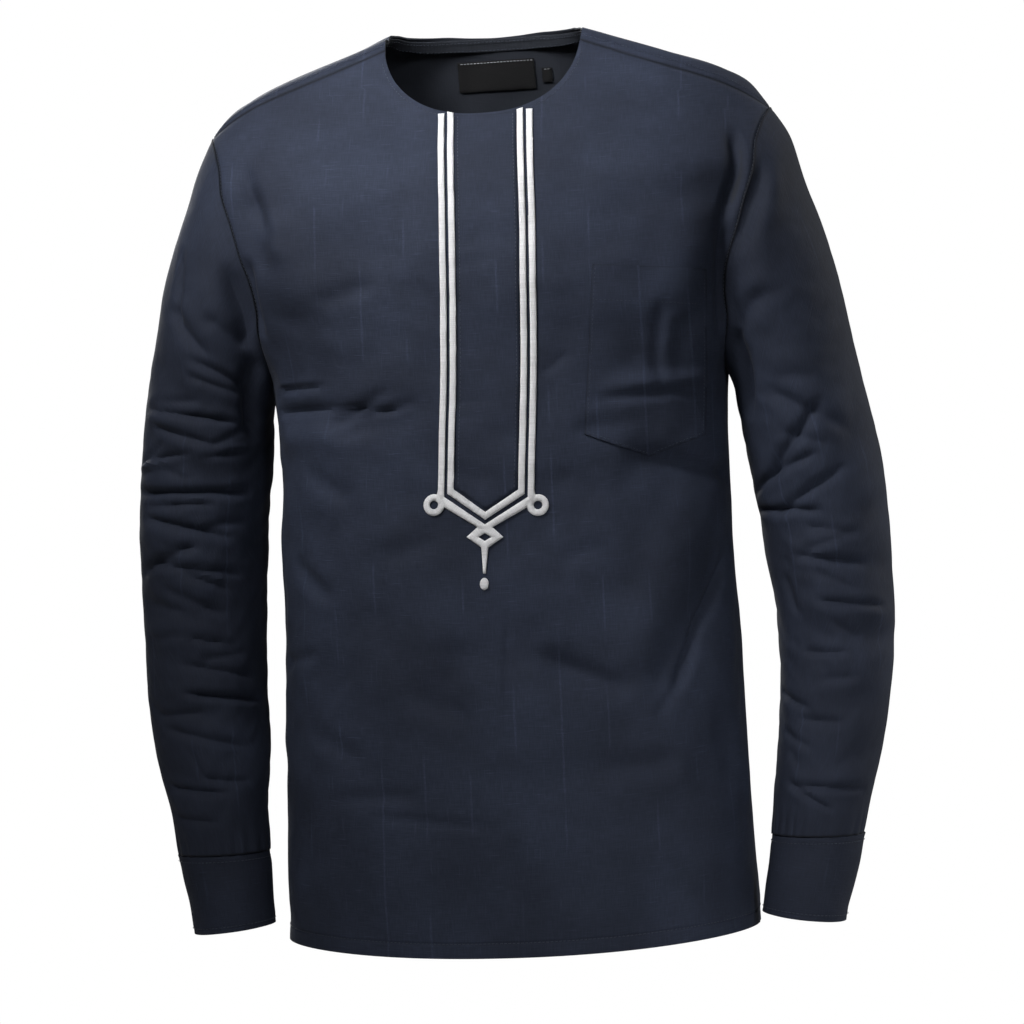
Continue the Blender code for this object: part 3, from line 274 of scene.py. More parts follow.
# Creases on a sleeve's hidden side, for both sleeves alike but shifted on one.
SLEEVE_BACK_CREASES = round_sleeve(
    (-300, 215, -352, 300, 7, -2.8), (-345, 225, -380, 320, 6, -2.6), (-392, 205, -404, 268, 6, -2.6),
    (-398, 275, -425, 340, 6, -2.4), (-440, 212, -452, 312, 6, -3), (-470, 235, -490, 300, 5, -2.2),
    (-512, 208, -520, 290, 6, -2.8), (-548, 250, -560, 340, 6, -2.4), (-578, 212, -590, 300, 5, -2.4),
    (-612, 222, -624, 318, 5, -2.6), (-642, 205, -648, 270, 5, -2.2), (-655, 280, -660, 345, 5, -2),
)

FINE = 7
SLEEVE_FINE = 8

# Cells of the fine body grids: below the underarm, above it, and either side of the middle.
BODY_CELLS = BODY_ROWS * FINE
CHEST_CELLS = CHEST_ROWS * FINE
NECK_CELLS = NECK_COLUMNS * FINE
HALF_CELLS = (NECK_COLUMNS + SIDE_COLUMNS) * FINE

CHEST_HALF_WIDTH = 0.2330
NECK_RISE = 0.0058
ARMHOLE_LENGTH = 0.46
HEM_SEAM = 0.012
# Width of the painted shade along seams.
SEAM_SHADE_WIDTH = 0.0016
SMALL_CELL = (0.003, 0.003)
THREAD_LIFT = 0.0001
HOLE_FROM_MIDDLE = 0.00115
HOLE_RADIUS = 0.0006
EDGE_DIP = 0.0012
EDGE_REACH = 0.0034

CAMERA_TURN = math.radians(6.5)
CAMERA_ROLL = math.radians(2.5)
CAMERA_DISTANCE = 2.8
CAMERA_AIM = Vector((0.0043, 0.0005, -0.402))
CAMERA_LENS = 117.17
FLOOR_Z = -1.30
FLOOR_GLOW = 0.62

AMBIENT = 0.075
LIGHTS = (
    ("key", (-0.56, -0.86, 0.74), (-0.02, 0.0, -0.10), (0.5, 0.4), 2.5, 52),
    ("fill", (1.5, -2.2, -0.1), (0.30, 0.0, -0.66), (0.6, 0.6), 0.75, 24),
    ("low", (-0.9, -2.0, -0.9), (0.0, 0.0, -0.80), (1.0, 0.5), 0.2, 40),
    ("neck", (0.55, -1.0, 0.75), (-0.03, 0.04, -0.05), (0.25, 0.25), 0.13, 20),
    ("back", (-1.1, 2.2, 0.9), (0.0, 0.0, -0.38), (1.4, 1.4), 13.0, 75),
    ("side", (2.3, 1.2, 0.7), (0.0, 0.0, -0.38), (1.2, 1.2), 4.0, 60),
)

# Linear colours.
LINEN_DARK = (0.0160, 0.0208, 0.0368, 1.0)
LINEN_LIGHT = (0.0240, 0.0312, 0.0544, 1.0)
# The inside faces' colour: about as dark as the linen, with its grey in place of navy being painted shade.
INSIDE_PAINTED_SHADE = (0.0165, 0.0190, 0.0250, 1.0)
FACING_DARK = (0.018, 0.021, 0.028, 1.0)
FACING_LIGHT = (0.026, 0.030, 0.040, 1.0)
THREAD = (0.032, 0.040, 0.060, 1.0)
PALE_THREAD = (0.30, 0.31, 0.33, 1.0)
SATIN = (0.90, 0.90, 0.92, 1.0)
LABEL = (0.0065, 0.0065, 0.0075, 1.0)
BUTTON_DARK = (0.010, 0.013, 0.021, 1.0)
BUTTON_LIGHT = (0.022, 0.028, 0.042, 1.0)
# Painted shade: the sleeves and cuffs get the same linen darkened by this factor.
SLEEVE_PAINTED_SHADE = 0.84

# The pale broken stripes of the linen: where one runs, from one to the next, and their strength.
STRIPE_AT = -0.0245
STRIPE_PITCH = 0.0378
STRIPE_STRENGTH = 0.5


def smooth_table(rows, at, column):
    """A table's column read at the keys in its first column, without overshoot between rows."""
    rows = sorted(rows)
    keys = np.array([row[0] for row in rows])
    values = np.array([row[column] for row in rows])
    steps = np.diff(keys)
    slopes = np.diff(values) / steps
    tangents = np.zeros(len(keys))
    same = slopes[:-1] * slopes[1:] > 0
    before, after = steps[:-1], steps[1:]
    weight_a, weight_b = 2 * after + before, after + 2 * before
    safe_a = np.where(same, slopes[:-1], 1.0)
    safe_b = np.where(same, slopes[1:], 1.0)
    tangents[1:-1] = np.where(same, (weight_a + weight_b) / (weight_a / safe_a + weight_b / safe_b), 0.0)
    tangents[0], tangents[-1] = slopes[0], slopes[-1]
    at = np.clip(np.asarray(at, float), keys[0], keys[-1])
    i = np.clip(np.searchsorted(keys, at) - 1, 0, len(steps) - 1)
    t = (at - keys[i]) / steps[i]
    return (
        values[i] * (1 + 2 * t) * (1 - t) ** 2
        + tangents[i] * steps[i] * t * (1 - t) ** 2
        + values[i + 1] * t * t * (3 - 2 * t)
        + tangents[i + 1] * steps[i] * t * t * (t - 1)
    )


FORM_HEIGHTS = np.linspace(BODY_FORM[0][0], BODY_FORM[-1][0], 6001)
FORM_SIZES = [smooth_table(BODY_FORM, FORM_HEIGHTS, column) for column in (1, 2, 3)]


def body_sizes(z, y):
    """Half width and depth of the body form at a height, in front or behind."""
    width, front, back = (np.interp(z, FORM_HEIGHTS, sizes) for sizes in FORM_SIZES)
    return width, np.where(y < 0, front, back)


def form_value(p):
    """1 on the body form, less inside it."""
    width, depth = body_sizes(p[..., 2], p[..., 1])
    return (np.abs(p[..., 0]) / width) ** ROUNDNESS + (np.abs(p[..., 1]) / depth) ** ROUNDNESS


def form_normal(p):
    """The outward direction of the body form."""
    step = 0.0004
    across = [form_value(p + step * axis) - form_value(p - step * axis) for axis in np.eye(3)]
    gradient = np.stack(across, axis=-1)
    return gradient / np.linalg.norm(gradient, axis=-1, keepdims=True)


def column_share(j):
    """Where column j stands between the middle, 0, and the armhole or side seam, 1."""
    neck_angle = math.asin(NECK_HALF_WIDTH / CHEST_HALF_WIDTH)
    count = abs(j)
    if count <= NECK_COLUMNS:
        return math.sin(neck_angle * count / NECK_COLUMNS)
    part = (count - NECK_COLUMNS) / SIDE_COLUMNS
    return math.sin(neck_angle + (math.pi / 2 - neck_angle) * part)


def seam_angle(j):
    """Angle of the forward shoulder seam, measured in front, at an outer column."""
    part = (abs(j) - NECK_COLUMNS) / SIDE_COLUMNS
    dip = SEAM_DIP * 4 * part * (1 - part)
    return math.radians(SEAM_AT_NECK + (SEAM_AT_TIP - SEAM_AT_NECK) * part - dip)


def around(p, behind):
    """Where a point lies round the body, as a length from the front or back middle."""
    width, depth = body_sizes(p[..., 2], p[..., 1])
    ahead = p[..., 1] / depth * (1 if behind else -1)
    return BODY_RADIUS * np.arctan2(p[..., 0] / width, ahead)


def on_form(x, z, behind):
    """The form's point seen at x and z from in front or behind."""
    x, z = np.asarray(x, float), np.asarray(z, float)
    sign = 1.0 if behind else -1.0
    width, depth = body_sizes(z, np.full_like(z, sign))
    y = sign * depth * np.clip(1 - (np.abs(x) / width) ** ROUNDNESS, 0, 1) ** (1 / ROUNDNESS)
    return np.stack([x, y, z], axis=-1)


def crease(du, dv, start, end, half_width, height):
    """A soft ridge or trough along a line, fading out at both ends."""
    along = np.array(end) - np.array(start)
    length = math.hypot(*along)
    along = along / length
    u, v = du - start[0], dv - start[1]
    t = (u * along[0] + v * along[1]) / length
    off = -u * along[1] + v * along[0]
    overshoot = np.maximum(np.maximum(-t, t - 1), 0) * length
    fade = np.clip(np.minimum(t, 1 - t) * 3 + 0.35, 0, 1)
    fade = fade * fade * (3 - 2 * fade)
    return height * fade * np.exp(-((off**2 + overshoot**2) / half_width**2))


def panel_folds(p, behind, folds, shape):
    """Height of a panel's folds, whose ends are seen from in front or behind."""
    u, z = around(p, behind), p[..., 2]
    total = np.zeros_like(z)
    for x0, z0, x1, z1, half_width, height in folds:
        ends = around(on_form([x0, x1], [z0, z1], behind), behind)
        total = total + shape(u, z, (ends[0], z0), (ends[1], z1), half_width, height)
    return total


def ease(t):
    """0 to 1 with a soft start and end."""
    t = np.clip(t, 0.0, 1.0)
    return t * t * (3 - 2 * t)


def bell(distance, reach):
    """1 at no distance, fading to 0 well past the reach."""
    return np.exp(-((distance / reach) ** 2))


def fan_point(x, angle, behind):
    """The form's points at x, on the rays that leave the line between the underarms at these angles,
    which run on past 90 degrees to the other side."""
    sign = 1.0 if behind else -1.0
    x, angle = np.broadcast_arrays(np.asarray(x, float), np.asarray(angle, float))
    low, high = np.zeros(x.shape), np.full(x.shape, 0.4)
    cos, sin = sign * np.cos(angle), np.sin(angle)
    for _ in range(26):
        r = (low + high) / 2
        inside = form_value(np.stack([x, r * cos, UNDERARM_Z + r * sin], axis=-1)) < 1
        low, high = np.where(inside, r, low), np.where(inside, high, r)
    return np.stack([x, low * cos, UNDERARM_Z + low * sin], axis=-1)


def armhole_point(angle, behind):
    """The armhole's points at these fan angles: an ellipse in side view, laid on the body form."""
    angle = np.asarray(angle, float)
    height = (SHOULDER_TIP_Z - UNDERARM_Z) / 2
    near, far = (ARMHOLE_BACK, ARMHOLE_FRONT) if behind else (ARMHOLE_FRONT, ARMHOLE_BACK)
    reach = np.where(angle <= math.pi / 2, near, far)
    sin, cos = np.sin(angle), np.cos(angle)
    r = (2 * sin / height) / ((sin / height) ** 2 + (cos / reach) ** 2)
    y = (1 if behind else -1) * r * cos
    z = UNDERARM_Z + r * sin
    width, depth = body_sizes(z, y)
    x = width * (1 - (np.abs(y) / depth) ** ROUNDNESS) ** (1 / ROUNDNESS)
    return np.stack([x, y, z], axis=-1)


def neck_value(p):
    """0 on the neckline, less inside the neck opening."""
    x, y, z = p[..., 0], p[..., 1], p[..., 2]
    drop = np.where(y < 0, -z / NECK_FRONT_DROP, y / NECK_BACK_REACH)
    return (x / NECK_HALF_WIDTH) ** ROUNDNESS + np.maximum(drop, 0.0) ** ROUNDNESS - 1


def neck_x(angle, behind):
    """Half width of the neck opening on the fan's rays at these angles."""
    low, high = np.zeros_like(angle), np.full_like(angle, 0.1)
    for _ in range(22):
        x = (low + high) / 2
        inside = neck_value(fan_point(x, angle, behind)) < 0
        low, high = np.where(inside, x, low), np.where(inside, high, x)
    return low


@functools.lru_cache(maxsize=None)
def corner_x(corner, behind):
    """Half width of the neck opening at a panel's neck corner."""
    return float(neck_x(np.array([corner]), behind)[0])


def column_x(j, angle, behind, corner):
    """x of a column on rows below the neck: the neck column turns to follow the neckline."""
    edge = armhole_point(angle, behind)[..., 0]
    plain, at_corner = edge * column_share(NECK_COLUMNS), corner_x(corner, behind)
    neck = at_corner + (plain - at_corner) * ease((corner - angle) / math.radians(30))
    share, neck_share = column_share(j), column_share(NECK_COLUMNS)
    if abs(j) <= NECK_COLUMNS:
        return neck * share / neck_share
    return neck + (edge - neck) * (share - neck_share) / (1 - neck_share)


def neckline_angle(j, behind, corner):
    """The angle at which an inner column reaches the neckline."""
    low, high = math.radians(50), corner + math.radians(0.01)
    for _ in range(20):
        angle = np.array((low + high) / 2)
        if neck_value(fan_point(column_x(j, angle, behind, corner), angle, behind)) > 0:
            low = float(angle)
        else:
            high = float(angle)
    return low


def hem_height(share):
    """Height of the hem, from the middle, 0, to the side seam, 1."""
    return HEM_FRONT_Z + (HEM_SIDE_Z - HEM_FRONT_Z) * share**2


def panel_grid(behind):
    """Fine grid of form points of a body panel, with the height of each point above the hem."""
    corner = math.radians(NECK_CORNER_BACK if behind else NECK_CORNER_FRONT)
    seam = (SEAM_ROWS_BACK if behind else SEAM_ROWS_FRONT) * FINE
    top_row = BODY_CELLS + CHEST_CELLS
    points = np.full((top_row + seam + 1, 2 * HALF_CELLS + 1, 3), np.nan)
    above_hem = np.zeros(points.shape[:2])
    for k in range(HALF_CELLS + 1):
        j = k / FINE
        share, outermost = column_share(j), k == HALF_CELLS
        hem = hem_height(share)
        z = hem + (UNDERARM_Z - hem) * np.arange(BODY_CELLS) / BODY_CELLS
        column = np.full((len(points), 3), np.nan)
        column[:BODY_CELLS] = on_form(share * body_sizes(z, -np.ones_like(z))[0], z, behind)
        inner = j < NECK_COLUMNS
        top = neckline_angle(j, behind, corner) if inner else corner
        angle = top * np.arange(CHEST_CELLS + 1) / CHEST_CELLS
        if outermost:
            column[BODY_CELLS : top_row + 1] = armhole_point(angle, behind)
            column[: BODY_CELLS + 1, 1] = 0.0
        else:
            across = column_x(j, angle, behind, corner)
            column[BODY_CELLS : top_row + 1] = fan_point(across, angle, behind)
        if not inner:
            end = math.pi - seam_angle(j) if behind else seam_angle(j)
            angle = corner + (end - corner) * np.arange(1, seam + 1) / seam
            edge = armhole_point(angle, behind)
            neck, neck_share = neck_x(angle, behind), column_share(NECK_COLUMNS)
            across = neck + (edge[:, 0] - neck) * (share - neck_share) / (1 - neck_share)
            column[top_row + 1 :] = edge if outermost else fan_point(across, angle, behind)
        points[:, HALF_CELLS + k] = column
        points[:, HALF_CELLS - k] = column * (-1, 1, 1)
        above_hem[:, HALF_CELLS + k] = above_hem[:, HALF_CELLS - k] = column[:, 2] - hem
    return points, above_hem


def hat(du, dv, start, end, half_width, height):
    """A crease with its cloth pushed up a little on both sides, deeper when it is long."""
    height = height * min(1.15, max(0.3, math.dist(start, end) / 0.062))
    wide = crease(du, dv, start, end, half_width * 1.9, -height * 0.50)
    return wide + crease(du, dv, start, end, half_width * 0.72, height * 1.9)


def waves(u, v, seed, shortest, longest, count, height):
    """Gentle unevenness of worn cloth, the same on each run."""
    dice = np.random.default_rng(seed)
    total = np.zeros_like(u)
    for _ in range(count):
        turn, phase = dice.uniform(0, math.tau, 2)
        length = dice.uniform(shortest, longest)
        ahead = u * math.cos(turn) + v * math.sin(turn)
        aside = u * math.sin(turn) - v * math.cos(turn)
        bend = 0.4 * length * np.sin(math.tau * aside / (length * 3.1) + phase * 2)
        total = total + np.sin(math.tau * (ahead + bend) / length + phase) * length
    return total * height / (count**0.5 * longest)


def edge_distance(points, axis, end):
    """Length along the grid from its first or last line, along an axis."""
    steps = np.nan_to_num(np.linalg.norm(np.diff(points, axis=axis), axis=-1))
    zero = np.zeros_like(np.take(steps, [0], axis=axis))
    length = np.concatenate([zero, np.cumsum(steps, axis=axis)], axis=axis)
    return length if end == 0 else np.take(length, [-1], axis=axis) - length


def dressed_panel(behind):
    """Outer points of a body panel with folds, creases and seam dips, its UVs, painted seam shade and armhole
    edges.
    """
    base, above_hem = panel_grid(behind)
    safe = np.nan_to_num(base, nan=0.05)
    u, z = around(safe, behind), safe[..., 2]
    height = panel_folds(safe, False, FRONT_FOLDS, crease) + panel_folds(safe, True, BACK_FOLDS, crease)
    height = height + panel_folds(safe, behind, BACK_CREASES if behind else FRONT_CREASES, hat)
    uneven = waves(u, z, 11 if behind else 5, 0.06, 0.18, 12, 0.0021)
    uneven += waves(u, z, 12 if behind else 6, 0.022, 0.050, 18, 0.0005)
    near_edge = np.minimum(edge_distance(base, 1, 0), edge_distance(base, 1, 1))
    from_top = edge_distance(base, 0, 1)
    calm = ease(near_edge / 0.03) * ease(above_hem / 0.02) * ease(from_top / 0.03)
    beside_neck = (np.abs(np.arange(base.shape[1]) - HALF_CELLS) >= NECK_CELLS)[None, :]
    dip = np.maximum(bell(near_edge, EDGE_REACH), bell(from_top, EDGE_REACH) * beside_neck)
    points = base + form_normal(safe) * (height + uneven * calm - EDGE_DIP * dip)[..., None]
    if behind:
        right = np.concatenate([np.abs(safe[..., :1]), safe[..., 1:]], axis=-1)
        near_neck = bell(np.maximum(neck_value(right), 0), 0.6)
        points[..., 2] += NECK_RISE * ease(right[..., 0] / 0.045) * near_neck * ease(safe[..., 1] / 0.025)
    uv = np.stack([across_cloth(base), above_hem], axis=-1)
    # Painted shade along the armhole and shoulder seams, which darkens the cloth's colour there.
    armhole = bell(near_edge, SEAM_SHADE_WIDTH) * (from_top < ARMHOLE_LENGTH)
    seam = np.maximum(armhole, bell(from_top, SEAM_SHADE_WIDTH) * beside_neck)
    edges = {}
    for side, column in ((1, -1), (-1, 0)):
        turns = [armhole_turn(p) for p in base[BODY_CELLS:, column]]
        edges[side] = list(zip(turns, points[BODY_CELLS:, column]))
    return points, uv, seam, edges


def across_cloth(points):
    """Distance of a panel's points from its middle line, along the cloth."""
    middle = points.shape[1] // 2
    level = points[..., :2].copy()
    inside = np.isnan(level[..., 0])
    columns = np.broadcast_to(np.sign(np.arange(points.shape[1]) - middle), inside.shape)
    level[inside] = 0.0
    steps = np.linalg.norm(np.diff(level, axis=1), axis=-1)
    bridge = inside[:, 1:] != inside[:, :-1]
    steps = np.where(bridge, np.abs(np.diff(level[..., 0], axis=1)), steps)
    length = np.concatenate([np.zeros((len(points), 1)), np.cumsum(steps, axis=1)], axis=1)
    return np.abs(length - length[:, middle : middle + 1]) * columns


def armhole_turn(p):
    """Angle round the armhole, from 0 at the underarm by 90 in front and 180 at the shoulder tip."""
    height = (SHOULDER_TIP_Z - UNDERARM_Z) / 2
    middle = (SHOULDER_TIP_Z + UNDERARM_Z) / 2
    reach = ARMHOLE_BACK if p[1] > 0 else ARMHOLE_FRONT
    return math.atan2(-p[1] / reach, (middle - p[2]) / height) % (2 * math.pi)


def sleeve_sections(rows, at, turns, side):
    """Rings of plain sleeve points at fractional row numbers."""
    at = np.asarray(at, float)[:, None]
    numbered = [(i, *row) for i, row in enumerate(rows)]
    inner_x, inner_z, outer_x, outer_z, front, back, middle_y = (
        smooth_table(numbered, at, column) for column in range(1, 8)
    )
    cos, sin = np.cos(turns)[None, :], np.sin(turns)[None, :]
    x = (inner_x + outer_x) / 2 + (inner_x - outer_x) / 2 * cos
    z = (inner_z + outer_z) / 2 + (inner_z - outer_z) / 2 * cos
    y = middle_y - np.where(sin > 0, front, back) * sin
    return np.stack([side * x, y, z], axis=-1)


def sleeve_fold(z, turns, folds, shape):
    """Height of a sleeve's folds at heights z and angles round it."""
    total = np.zeros_like(z)
    for z0, turn0, z1, turn1, half_width, height in folds:
        start, end = (math.radians(turn0) * SLEEVE_RADIUS, z0), (math.radians(turn1) * SLEEVE_RADIUS, z1)
        total = total + shape(turns * SLEEVE_RADIUS, z, start, end, half_width, height)
    return total


def tube_normals(points, side):
    """Outward directions of a closed tube's grid of rings."""
    round_way = np.roll(points, -1, axis=1) - np.roll(points, 1, axis=1)
    normals = np.cross(np.gradient(points, axis=0), round_way) * side
    return normals / np.linalg.norm(normals, axis=2, keepdims=True)


def dressed_sleeve(side, rows, folds, creases, edge, seed):
    """Outer points, UVs and painted seam shade of a sleeve that starts on the armhole's points."""
    turns = np.array([turn for turn, _ in edge])
    at = np.linspace(0, 1, SLEEVE_RINGS * SLEEVE_FINE + 1) ** 0.92 * (len(rows) - 1)
    points = sleeve_sections(rows, at, turns, side)
    to_body = np.array([p for _, p in edge]) - points[0]
    points = points + to_body[None] * ease(1 - at / 3.2)[:, None, None]
    normals = tube_normals(points, side)
    z, turn = points[..., 2], turns[None, :] + 0 * points[..., 2]
    shift = 0.0 if side > 0 else -0.012
    hidden = [(a + shift, b, c + shift * 0.7, d, w, h * 0.4) for a, b, c, d, w, h in SLEEVE_BACK_CREASES]
    sharp = sleeve_fold(z, turn, list(creases) + hidden, hat)
    across, deep = SLEEVE_RADIUS * np.cos(turn), SLEEVE_RADIUS * np.sin(turn)
    uneven = waves(across * 1.4, z + deep * 0.9, seed, 0.045, 0.12, 12, 0.0010)
    uneven += waves(across * 1.4, z * 1.3 + deep, seed + 1, 0.018, 0.040, 16, 0.00035)
    start, end = at[:, None], len(rows) - 1 - at[:, None]
    soft = sleeve_fold(z, turn, folds, crease) * 0.5 + uneven
    height = soft * np.clip(start / 3, 0, 1) * np.clip(end / 1.2, 0, 1)
    height = height + sharp * np.clip(start, 0, 1) * np.clip(end / 0.6, 0, 1)
    along, last = edge_distance(points, 0, 0), edge_distance(points, 0, 1)
    gathers = np.sin(turn * 23 + 2 * np.sin(turn * 3 + seed)) * 0.0005
    height = height * (1 - 0.7 * bell(turn - math.pi, 0.42)) + gathers * bell(last - 0.006, 0.012)
    height = height - EDGE_DIP * 0.6 * (bell(along, EDGE_REACH) - bell(along, 0.0009))
    points = points + normals * height[..., None]
    first = points[1] - points[0]
    points[0] -= first / np.linalg.norm(first, axis=1, keepdims=True) * 0.0002
    u = np.concatenate([turns, [turns[0] + math.tau]]) * SLEEVE_RADIUS
    down = np.concatenate([along, along[:, :1]], axis=1)
    uv = np.stack([np.broadcast_to(u, down.shape), down], axis=-1)
    # The third value is painted shade along the sleeve's seams at the armhole and the cuff.
    return points, uv, np.maximum(bell(along, SEAM_SHADE_WIDTH), bell(last, SEAM_SHADE_WIDTH))


def add_mesh(name, verts, faces, finish, node=None):
    """A piece from its points and faces."""
    mesh = bpy.data.meshes.new(name)
    mesh.from_pydata([tuple(map(float, v)) for v in verts], [], [list(map(int, f)) for f in faces])
    mesh.update()
    return add_piece(name, mesh, finish, node)


def add_piece(name, mesh, finish, node=None):
    """A smooth piece on the shirt, in the place of a node if one is named."""
    made = bpy.data.objects.new(name, mesh)
    mesh.materials.append(finish)
    mesh.shade_smooth()
    bpy.context.scene.collection.objects.link(made)
    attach(made, "root")
    if node:
        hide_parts(node)
    return made


def paint_seam_shade(mesh, values):
    """Painted shade along seams and piece edges: how near each point is to one, which darkens the cloth's
    colour.
    """
    seam = mesh.attributes.new("Seam", "FLOAT", "POINT")
    seam.data.foreach_set("value", values.astype(np.float32))


def add_wall(made, thickness, rim_width=None):
    """The cloth's thickness, inward, with a rounded rim if it has a width."""
    wall = made.modifiers.new("Wall", "SOLIDIFY")
    wall.thickness, wall.offset = thickness, -1.0
    if rim_width:
        rim = made.modifiers.new("Rim", "BEVEL")
        rim.width, rim.segments = rim_width, 2
        rim.limit_method, rim.angle_limit = "ANGLE", math.radians(55)


def cloth_grid(name, points, uv, closed, flip, thickness, finish, node, seam=None):
    """Cloth from a grid of outer points; cells that lack a corner are left out."""
    there = ~np.isnan(points[..., 0])
    index = np.full(there.shape, -1)
    index[there] = np.arange(there.sum())
    if closed:
        index = np.concatenate([index, index[:, :1]], axis=1)
    cells, places = (
        np.stack([grid[:-1, :-1], grid[:-1, 1:], grid[1:, 1:], grid[1:, :-1]], axis=2) for grid in (index, uv)
    )
    keep = (cells >= 0).all(axis=-1)
    cells, places = cells[keep], places[keep]
    if flip:
        cells, places = cells[:, ::-1], places[:, ::-1]
    made = add_mesh(name, points[there], cells, finish, node)
    layer = made.data.uv_layers.new(name="Cloth")
    layer.data.foreach_set("uv", places.reshape(-1).astype(np.float32))
    # The seam values are painted shade along the cloth's seams.
    if seam is not None:
        paint_seam_shade(made.data, seam[there])
    add_wall(made, thickness, min(0.0004, thickness * 0.35))
    return made


def arc(middle, radius, start, end, count):
    """Points on an arc, angles in degrees."""
    angles = np.radians(np.linspace(start, end, count))
    return [(middle[0] + radius * math.cos(a), middle[1] + radius * math.sin(a)) for a in angles]


def band_side(x, top, foot):
    """Points down one edge of a band, so that it can follow the axis."""
    return [(x, z) for z in np.linspace(top, foot, BAND_POINTS)]


def mirrored(line):
    """A line's points on the other side of the axis."""
    return [(-x, z) for x, z in line]


def leaned(outline):
    """Points given from the ornament's axis, moved to it and tilted with it below the neckline."""
    placed = []
    for x, z in outline:
        tilt = TRIM_TILT if z < -NECK_FRONT_DROP - 0.01 else 0.0
        placed.append((x + float(smooth_table(TRIM_AXIS, z, 1)), z - tilt * x))
    return placed


def neck_edge_z(x):
    """Height of the front neckline at x from the ornament's axis, a little inside the cloth's edge."""
    share = (abs(x + TRIM_AXIS[-1][1]) / NECK_HALF_WIDTH) ** ROUNDNESS
    return -NECK_FRONT_DROP * (1 - share) ** (1 / ROUNDNESS) - NECK_EDGE_MARGIN


def trim_outer_outlines():
    """Outer band with its loops, point, diamond and stem, and the three holes."""
    inner_x = TRIM_OUTER - TRIM_BAND
    loop = (TRIM_LOOP_X, TRIM_LOOP_Z)
    turn_z = TRIM_TURN_Z - 0.0030
    joint_x = DIAMOND_HALF_WIDTH * 0.42
    joint_z = TRIM_POINT_Z + (turn_z - TRIM_POINT_Z) * joint_x / inner_x - TRIM_BAND * 1.2
    stem_z = DIAMOND_Z - DIAMOND_HALF_HEIGHT * (1 - STEM_HALF_WIDTH / DIAMOND_HALF_WIDTH)
    top = neck_edge_z(TRIM_INNER)
    outside = band_side(TRIM_OUTER, top, TRIM_LOOP_Z + TRIM_LOOP_RADIUS + 0.004)
    outside += arc(loop, TRIM_LOOP_RADIUS, 105, -168, 16)
    outside += [(joint_x, joint_z), (DIAMOND_HALF_WIDTH, DIAMOND_Z)]
    outside += [(STEM_HALF_WIDTH, stem_z), (STEM_FOOT_HALF_WIDTH, STEM_FOOT_Z)]
    inside = band_side(inner_x, top, turn_z)
    outline = mirrored(outside) + outside[::-1] + inside + [(0.0, TRIM_POINT_Z)] + mirrored(inside[::-1])
    hole = arc(loop, TRIM_LOOP_HOLE, 0, 324, 10)
    across, up = DIAMOND_HOLE
    diamond = [(across, DIAMOND_Z), (0, DIAMOND_Z + up), (-across, DIAMOND_Z), (0, DIAMOND_Z - up)]
    return [leaned(line) for line in (outline, hole, mirrored(hole), diamond)]


def trim_inner_outlines():
    """Inner band with its point."""
    outer_x, inner_x = TRIM_INNER + TRIM_BAND, TRIM_INNER
    point_in = TRIM_POINT_Z + 0.0100
    point_out = point_in - TRIM_BAND * 1.2
    near = band_side(inner_x, neck_edge_z(inner_x), TRIM_TURN_Z + 0.0030)
    far = band_side(outer_x, neck_edge_z(outer_x), TRIM_TURN_Z - 0.0005)
    outline = mirrored(far) + [(0.0, point_out)] + far[::-1] + near + [(0.0, point_in)]
    return [leaned(outline + mirrored(near[::-1]))]


def placket_outlines():
    """Placket strip from the neckline to its pointed foot."""
    half = PLACKET_HALF_WIDTH
    top = [(x, neck_edge_z(x)) for x in np.linspace(-half, half, 7)]
    side = band_side(half, neck_edge_z(half), TRIM_TURN_Z + 0.0045)[1:]
    return [leaned(top + side + [(0.0, PLACKET_POINT_Z)] + mirrored(side[::-1]))]


def flat_piece(outlines, cell_x, cell_z):
    """A flat cut piece in the XY plane, from closed outlines, inner ones being holes, cut into cells."""
    curve = bpy.data.curves.new("outline", "CURVE")
    curve.dimensions = "2D"
    curve.fill_mode = "BOTH"
    for outline in outlines:
        spline = curve.splines.new("POLY")
        spline.points.add(len(outline) - 1)
        for point, (x, z) in zip(spline.points, outline):
            point.co = (x, z, 0, 1)
        spline.use_cyclic_u = True
    holder = bpy.data.objects.new("outline", curve)
    bpy.context.scene.collection.objects.link(holder)
    bpy.context.view_layer.update()
    mesh = bpy.data.meshes.new_from_object(holder.evaluated_get(bpy.context.evaluated_depsgraph_get()))
    bpy.data.objects.remove(holder)
    bpy.data.curves.remove(curve)
    work = bmesh.new()
    work.from_mesh(mesh)
    bpy.data.meshes.remove(mesh)
    bmesh.ops.remove_doubles(work, verts=work.verts, dist=0.00001)
    bmesh.ops.dissolve_limit(work, angle_limit=0.01, verts=work.verts, edges=work.edges)
    for axis, cell in ((0, cell_x), (1, cell_z)):
        low = min(v.co[axis] for v in work.verts)
        high = max(v.co[axis] for v in work.verts)
        count = max(1, round((high - low) / cell))
        for i in range(1, count):
            cut, normal = [0.0, 0.0, 0.0], [0.0, 0.0, 0.0]
            cut[axis], normal[axis] = low + (high - low) * i / count, 1.0
            geometry = work.verts[:] + work.edges[:] + work.faces[:]
            bmesh.ops.bisect_plane(work, geom=geometry, dist=0.000001, plane_co=cut, plane_no=normal)
    bmesh.ops.triangulate(work, faces=[f for f in work.faces if len(f.verts) > 4])
    return work


def segment_distance(xz, p, q):
    """Distance of points to a segment, and where along it the nearest point lies, 0 to 1."""
    along = q - p
    t = np.clip(((xz - p) @ along) / max(along @ along, 1e-12), 0, 1)
    return np.linalg.norm(xz - p - t[:, None] * along, axis=1), t


